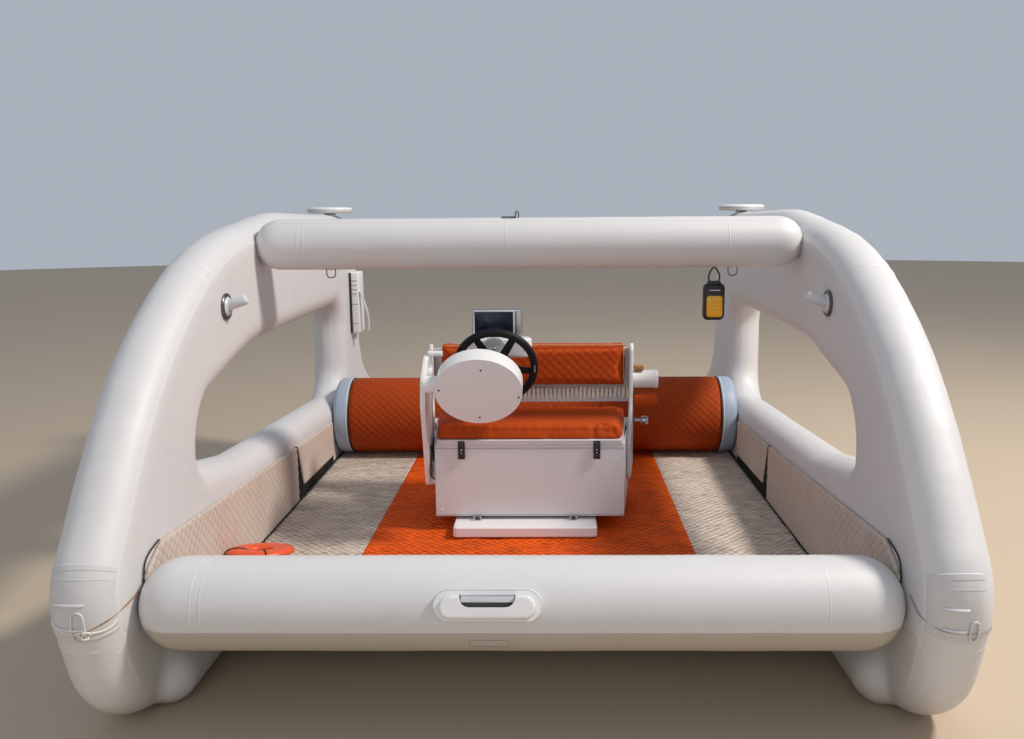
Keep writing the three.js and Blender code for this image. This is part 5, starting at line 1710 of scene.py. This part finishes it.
class BOAT_OT_arch_fittings(bpy.types.Operator):
    """Makes the rod pegs, the roof discs, the rings under the roof bar and its shackle"""
    bl_idname = "boat.arch_fittings"
    bl_label = "Arch fittings"

    def execute(self, context):
        for name, side in SIDES.items():
            x = side * (INNER_HALF - 0.0004)
            root = (x, *PEG_ROOT)
            flange = [(0.0, 0.0), (0.0465, 0.0), (0.048, 0.0025), (0.048, 0.0065), (0.0455, 0.009),
                      (0.036, 0.0092), (0.0, 0.0092)]
            inner = [(0.0, 0.006), (0.0352, 0.006), (0.0352, 0.0088), (0.03, 0.0148), (0.02, 0.015),
                     (0.0, 0.015)]
            turned(f"peg_flange_{name}", flange, root, (-side, 0, 0), "chrome", 48, "grey",
                   f"arch_peg_{name}")
            turned(f"peg_boss_{name}", inner, root, (-side, 0, 0), "grey pale", 40, "grey")
            peg = [(0.0, 0.009), (0.0185, 0.009), (0.019, 0.02), (0.019, 0.074), (0.0175, 0.08),
                   (0.013, 0.0838), (0.0, 0.084)]
            lifted = (-side * cos(PEG_LIFT), 0, sin(PEG_LIFT))
            turned(f"peg_rod_{name}", peg, root, lifted, "grey pale", 40, "grey")
            disc = [(0.0, 0.0), (0.034, 0.0), (0.031, 0.0115), (0.06, 0.0122), (0.1155, 0.0128),
                    (0.1225, 0.017), (DISC_RADIUS, 0.0232), (DISC_RADIUS, 0.033), (0.123, 0.0395),
                    (0.1155, 0.044), (0.095, 0.0448), (0.0, 0.045)]
            turned(f"disc_moulding_{name}", disc, (side * FRAME_X, DISC_Y, 1.4921), (0, 0, 1), "white", 72,
                   "plastic", f"roof_disc_{name}")
            groove = [(side * FRAME_X + (DISC_RADIUS - 0.0004) * cos(a),
                       DISC_Y + (DISC_RADIUS - 0.0004) * sin(a), 1.5205) for a in around(72)]
            wire(f"disc_seam_{name}", [groove], 0.0016, "grey", "grey", 6, closed=True)
        self.rings()
        self.shackle()
        return {"FINISHED"}

    def rings(self):
        y, z = ROOF_AXIS
        tree = SKINS["roof"]
        for label, x in (("starboard", -0.791), ("port", 0.814)):
            webbing = laid_patch(
                f"roof_tab_{label}", tree, lambda u, v, x=x: Vector((
                    x + 0.044 * (u - 0.5), y - 0.035 + 0.07 * v, z - ROOF_RADIUS)), 6, 8, 0.002, "patch")
            finish_piece(webbing, "hull")
            dee = smooth_path([(x + out, y - 0.02, z - ROOF_RADIUS + drop) for out, drop in (
                (-0.017, 0.003), (-0.018, -0.014), (-0.011, -0.03), (0.011, -0.03), (0.018, -0.014),
                (0.017, 0.003))], 5)
            wire(f"roof_ring_{label}", [dee], 0.0024, "chrome", "steel", 10, closed=True)

    def shackle(self):
        y, z = ROOF_AXIS
        top = z + ROOF_RADIUS
        bar = block_shape((-0.103, y - 0.026, top - 0.003), (-0.046, y - 0.006, top + 0.0065), 0.0025)
        built("shackle_bar", bar, "chrome", "steel")
        hook = smooth_path([(-0.043 + out, y - 0.016, top + up) for out, up in (
            (-0.006, 0.001), (-0.006, 0.018), (0.0, 0.026), (0.006, 0.018), (0.006, 0.001))], 5)
        wire("shackle_hook", [hook], 0.0028, "chrome", "steel", 10)


class BOAT_OT_equipment_panel(bpy.types.Operator):
    """Makes the vented equipment panel on the starboard arch"""
    bl_idname = "boat.equipment_panel"
    bl_label = "Equipment panel"

    def execute(self, context):
        low, high = (Vector(corner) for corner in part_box("equipment_panel"))
        case = block_shape(low, high, 0.01, 4)
        built("panel_case", case, "white", "plastic", "equipment_panel")
        front = low.y - 0.0003
        middle = (low.x + high.x) / 2
        slots = [[(middle - 0.017, front, z), (middle + 0.017, front, z)]
                 for z in (high.z - 0.05, high.z - 0.075, high.z - 0.1, high.z - 0.125)]
        wire("panel_slots", slots, 0.0022, "grey", "grey", 6)
        seam = [[(low.x + 0.004, front, z), (high.x - 0.004, front, z)]
                for z in (low.z + 0.06, low.z + 0.17)]
        wire("panel_seams", seam, 0.0016, "grey", "grey", 6)
        strap = block_shape((low.x + 0.0004, low.y - 0.005, low.z + 0.004),
                            (low.x + 0.013, low.y - 0.001, high.z - 0.004), 0.0015)
        built("panel_strap", strap, "dark", "black")

        corners = ((-0.0025, 1.103), (0.0025, 1.103), (0.0025, 1.135), (-0.0025, 1.135))

        def flap(i, j):
            share = i / 16
            x = high.x + 0.0035 + 0.044 * sin(min(1.0, share * 1.25) * pi / 2)
            return x + corners[j][0], corners[j][1], 1.056 - 0.228 * share

        shape = grid_shape(flap, 17, 4, "columns", capped=True)
        built("panel_flap", shape, "grey pale", "plastic")
        return {"FINISHED"}


class BOAT_OT_float_ring(bpy.types.Operator):
    """Makes the orange ring float strapped to the starboard wall in the bow"""
    bl_idname = "boat.float_ring"
    bl_label = "Ring float"

    def execute(self, context):
        centre = Vector((-0.9404, -1.065, 0.31))
        lean = Matrix.Rotation(-radians(11), 3, "X")
        radius, tube, flatness = 0.08, 0.0378, 0.4

        def spot(a, b, swell_by=0.0):
            r = radius + (tube + swell_by) * cos(b)
            rise = (tube * flatness + swell_by) * sin(b)
            return centre + lean @ Vector((r * cos(a), r * sin(a), rise))

        rows, columns = 72, 24
        shape = grid_shape(
            lambda i, j: spot(tau * i / rows, tau * j / columns), rows, columns, "rows and columns")
        built("float_shell", shape, "float", "float", "float_ring", sharp=180.0)
        bands = [[spot(radians(degrees), a, 0.0012) for a in around(20)] for degrees in (205, 297)]
        wire("float_bands", bands, 0.0028, "welt", "black", closed=True)
        outline = [spot(pi, pi + pi * k / 10, 0.001) for k in range(11)]
        strap = [[point + Vector((0.0, step * 0.004, 0.0)) for point in outline] for step in (-3, -1, 1, 3)]
        wire("float_strap", strap, 0.0022, "welt", "black", 6)
        tail = block_shape((-1.0586, -1.079, 0.203), (-1.0556, -1.051, 0.314), 0.0008)
        built("float_strap_tail", tail, "welt", "black")
        return {"FINISHED"}


class BOAT_OT_bow_handle(bpy.types.Operator):
    """Makes the oval lifting handle on the bow tube"""
    bl_idname = "boat.bow_handle"
    bl_label = "Bow handle"

    def execute(self, context):
        rounded("bow_handle", "handle_moulding", "white", "plastic", 0.003, 3, 40)
        turn = Matrix.Rotation(-HANDLE_RAISE, 3, "X")
        origin = Vector((HANDLE_X, *BOW_AXIS))

        def place(x, y, z):
            return origin + turn @ Vector((x, y, z))

        oval = [place(middle + 0.0425 * cos(radians(a)), -0.1415, 0.0425 * sin(radians(a)))
                for middle, start in ((0.104, -90), (-0.104, 90)) for a in range(start, start + 181, 15)]
        wire("handle_rim", [oval], 0.0022, "tape", "hull", closed=True)
        pieces = ((-0.0725, -0.1415, -0.0165, 0.0725, -0.1395, 0.03, "grey pale", "handle_back", "plastic"),
                  # The dark slit is painted shade deep in the pocket behind the lip
                  (-0.071, -0.1445, -0.0165, 0.071, -0.1416, 0.0085, "dark", "handle_pocket_shade", "black"))
        for x0, y0, z0, x1, y1, z1, finish, name, slot in pieces:
            shape = block_shape((x0, y0, z0), (x1, y1, z1), 0.0009)
            for vertex in shape.verts:
                vertex.co = place(*vertex.co)
            bmesh.ops.recalc_face_normals(shape, faces=shape.faces)
            built(name, shape, finish, slot)
        return {"FINISHED"}


class BOAT_OT_stowage(bpy.types.Operator):
    """Makes the stowage tube, its strap and the knob on the port cheek"""
    bl_idname = "boat.stowage"
    bl_label = "Stowage tube"

    def execute(self, context):
        low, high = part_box("stowage_tube")
        y, z = -0.048, 0.742
        start = low[0] + 0.001
        length = high[0] - start
        tube = [(0.0, 0.0), (0.0408, 0.0), (0.0408, length - 0.014), (0.0417, length - 0.012),
                (0.0417, length - 0.002), (0.0405, length), (0.037, length), (0.0362, length - 0.004),
                (0.0362, length - 0.06), (0.0, length - 0.06)]
        turned("stowage_moulding", tube, (start, y, z), (1, 0, 0), "white", 56, "plastic", "stowage_tube")
        strap = block_shape((0.466, y - 0.03, z + 0.0425), (0.508, y + 0.02, z + 0.066), 0.006, 3)
        built("stowage_strap", strap, "cord", "rope", sharp=60.0)
        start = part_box("panel_knob")[0][0] + 0.009
        length = 0.532 - start
        knob = [(0.0, 0.0), (0.013, 0.0), (0.013, 0.003), (0.0088, 0.004), (0.0088, length - 0.034),
                (0.0165, length - 0.031), (0.0195, length - 0.026), (0.02, length - 0.015),
                (0.019, length - 0.006), (0.015, length - 0.001), (0.0, length)]
        turned("knob_turning", knob, (start, -0.048, 0.55), (1, 0, 0), "steel", 40, "steel", "panel_knob")
        return {"FINISHED"}


class BOAT_OT_drive(bpy.types.Operator):
    """Makes the tilted electric drive behind the transom"""
    bl_idname = "boat.drive"
    bl_label = "Electric drive"

    def execute(self, context):
        for node, name, body, finish, slot, edge in (
                ("motor_bracket", "drive_bracket", "hull", "steel", "steel", 0.002),
                ("motor_swivel", "drive_swivel", "motor_tilt", "grey", "grey", 0.002),
                ("motor_leg", "drive_leg", "motor_steer", "grey", "grey", 0.006)):
            rounded(node, name, finish, slot, edge, 3, 40, body=body)
        self.propeller()
        screw = [(0.0, 0.0), (0.012, 0.0), (0.012, 0.012), (0.006, 0.014), (0.006, 0.02), (0.0, 0.02)]
        clamps = [lathe_shape(screw, (x, 1.2306, 0.385), (0, 1, 0), 20) for x in (-0.045, 0.045)]
        built("drive_clamps", merge_shapes(clamps), "steel", "steel")
        return {"FINISHED"}

    def propeller(self):
        c, s = cos(DRIVE_TILT), sin(DRIVE_TILT)
        along = Vector((0, c, s))
        down = Vector((0, s, -c))
        start = DRIVE_PIVOT + along * (0.07 + 0.1105) + down * DRIVE_REACH
        shapes = [lathe_shape([(0.0, 0.0), (0.0255, 0.0), (0.026, 0.004), (0.0235, 0.03), (0.018, 0.043),
                               (0.01, 0.048), (0.0, 0.0495)], start, along, 40)]
        for angle in around(3):
            out = Vector((1, 0, 0)) * sin(angle) - down * cos(angle)
            sweep = along.cross(out)
            middle = start + along * 0.0235

            def spot(i, j, out=out, sweep=sweep, middle=middle):
                share = i / 14
                r = 0.018 + 0.098 * share
                width = 0.019 * (0.75 + 0.9 * share * (1 - share) * 2 - 0.55 * max(0.0, share - 0.55) * 2)
                pitch = radians(52 - 34 * share)
                a = tau * j / 16
                w, t = width * cos(a), 0.003 * (1.1 - 0.6 * share) * sin(a)
                chord = sweep * cos(pitch) + along * sin(pitch)
                thick = along * cos(pitch) - sweep * sin(pitch)
                return middle + out * r + chord * w + thick * t

            shapes.append(grid_shape(spot, 15, 16, "columns", capped=True))
        built("propeller_casting", merge_shapes(shapes), "dark", "black", "propeller", body="propeller")


class BOAT_OT_carried(bpy.types.Operator):
    """Gives the plain parts that stay as they are their finishes"""
    bl_idname = "boat.carried"
    bl_label = "Plain parts"

    def execute(self, context):
        for node, finish in (
                ("seat_rail_starboard", "steel"), ("seat_rail_port", "steel"), ("battery", "dark"),
                ("floor_edging_starboard", "welt"), ("floor_edging_port", "welt"),
                # The wall skirts' black paints the shade in the gaps between the wall pads
                ("wall_skirt_starboard", "skirt"), ("wall_skirt_port", "skirt")):
            piece = frame["nodes"][node]
            for slot in piece.material_slots:
                slot.material = FINISHES[finish]
        return {"FINISHED"}


class BOAT_OT_finishes(bpy.types.Operator):
    """Makes every finish of the boat"""
    bl_idname = "boat.finishes"
    bl_label = "Finishes"

    def execute(self, context):
        make_finishes(context.scene.boat_skin, context.scene.boat_cloth, context.scene.boat_fittings)
        return {"FINISHED"}


class BOAT_OT_stage(bpy.types.Operator):
    """Sets the camera, the pale floor, the light all round and the lamps"""
    bl_idname = "boat.stage"
    bl_label = "Stage"

    def execute(self, context):
        stage = context.scene.boat_stage
        lens = bpy.data.cameras.new("Camera")
        lens.sensor_fit = "HORIZONTAL"
        lens.sensor_width = 36.0
        lens.lens = 36.0 * stage.focal
        lens.shift_x = stage.shift
        camera = bpy.data.objects.new("Camera", lens)
        camera.matrix_world = (
            Matrix.Translation(stage.camera_place) @ Matrix.Rotation(stage.yaw, 4, "Z")
            @ Matrix.Rotation(pi / 2 - stage.pitch, 4, "X") @ Matrix.Rotation(-stage.roll, 4, "Z"))
        context.scene.collection.objects.link(camera)
        context.scene.camera = camera

        ground = Finish("Pale floor", stage.floor_colour, 0.9)
        ground.tint(ground.span(ground.noise(0.6, 4.0), 0.4, 0.7, 0.0, 0.3), shade(stage.floor_colour, 0.95))
        FINISHES["floor"] = ground.material
        shape = bmesh.new()
        bmesh.ops.create_circle(shape, cap_ends=True, segments=96, radius=30.0)
        from_bmesh("floor", shape, "floor", 180.0)

        sky = bpy.data.worlds.new("Surround")
        sky.use_nodes = True
        background = sky.node_tree.nodes["Background"]
        background.inputs["Color"].default_value = (*stage.sky_colour, 1.0)
        background.inputs["Strength"].default_value = stage.sky_strength
        context.scene.world = sky
        context.scene.view_settings.view_transform = "Standard"
        for name, place, aim, power, size, colour in (
                ("Key lamp", (5.6, -1.6, 7.0), (0.0, -0.6, 0.5), stage.key_power, 1.3, (1.0, 0.93, 0.86)),
                ("Fill lamp", (-1.0, -7.0, 2.4), (0.0, -1.0, 0.6), stage.fill_power, 4.0, (1.0, 0.95, 0.92))):
            light = bpy.data.lights.new(name, "AREA")
            light.shape = "DISK"
            light.size = size
            light.energy = power
            light.color = colour
            lamp = bpy.data.objects.new(name, light)
            lamp.location = place
            lamp.rotation_euler = (Vector(aim) - Vector(place)).to_track_quat("-Z", "Y").to_euler()
            context.scene.collection.objects.link(lamp)
        return {"FINISHED"}


STEPS = (
    BOAT_OT_stage, BOAT_OT_finishes, BOAT_OT_hulls, BOAT_OT_cross_tubes, BOAT_OT_nose_patches, BOAT_OT_floor,
    BOAT_OT_wall_quilts, BOAT_OT_bolster, BOAT_OT_seat, BOAT_OT_backrest, BOAT_OT_console, BOAT_OT_helm,
    BOAT_OT_lantern, BOAT_OT_arch_fittings, BOAT_OT_equipment_panel, BOAT_OT_float_ring, BOAT_OT_bow_handle,
    BOAT_OT_stowage, BOAT_OT_drive, BOAT_OT_carried,
)
SETTINGS = {
    "boat_stage": StageSettings, "boat_skin": SkinSettings, "boat_cloth": ClothSettings,
    "boat_fittings": FittingSettings,
}


class BOAT_PT_steps(bpy.types.Panel):
    """The steps and sizes of the boat"""
    bl_label = "Inflatable boat"
    bl_idname = "BOAT_PT_steps"
    bl_space_type = "VIEW_3D"
    bl_region_type = "UI"
    bl_category = "Boat"

    def draw(self, context):
        for step in STEPS:
            self.layout.operator(step.bl_idname)
        for name, settings in SETTINGS.items():
            box = self.layout.box()
            for field in settings.__annotations__:
                box.prop(getattr(context.scene, name), field)


CLASSES = (*SETTINGS.values(), *STEPS, BOAT_PT_steps)


def register():
    for kind in CLASSES:
        bpy.utils.register_class(kind)
    for name, settings in SETTINGS.items():
        setattr(bpy.types.Scene, name, PointerProperty(type=settings))


def unregister():
    for name in SETTINGS:
        delattr(bpy.types.Scene, name)
    for kind in reversed(CLASSES):
        bpy.utils.unregister_class(kind)


def main():
    register()
    for step in STEPS:
        group, name = step.bl_idname.split(".")
        getattr(getattr(bpy.ops, group), name)()


if __name__ == "__main__":
    main()
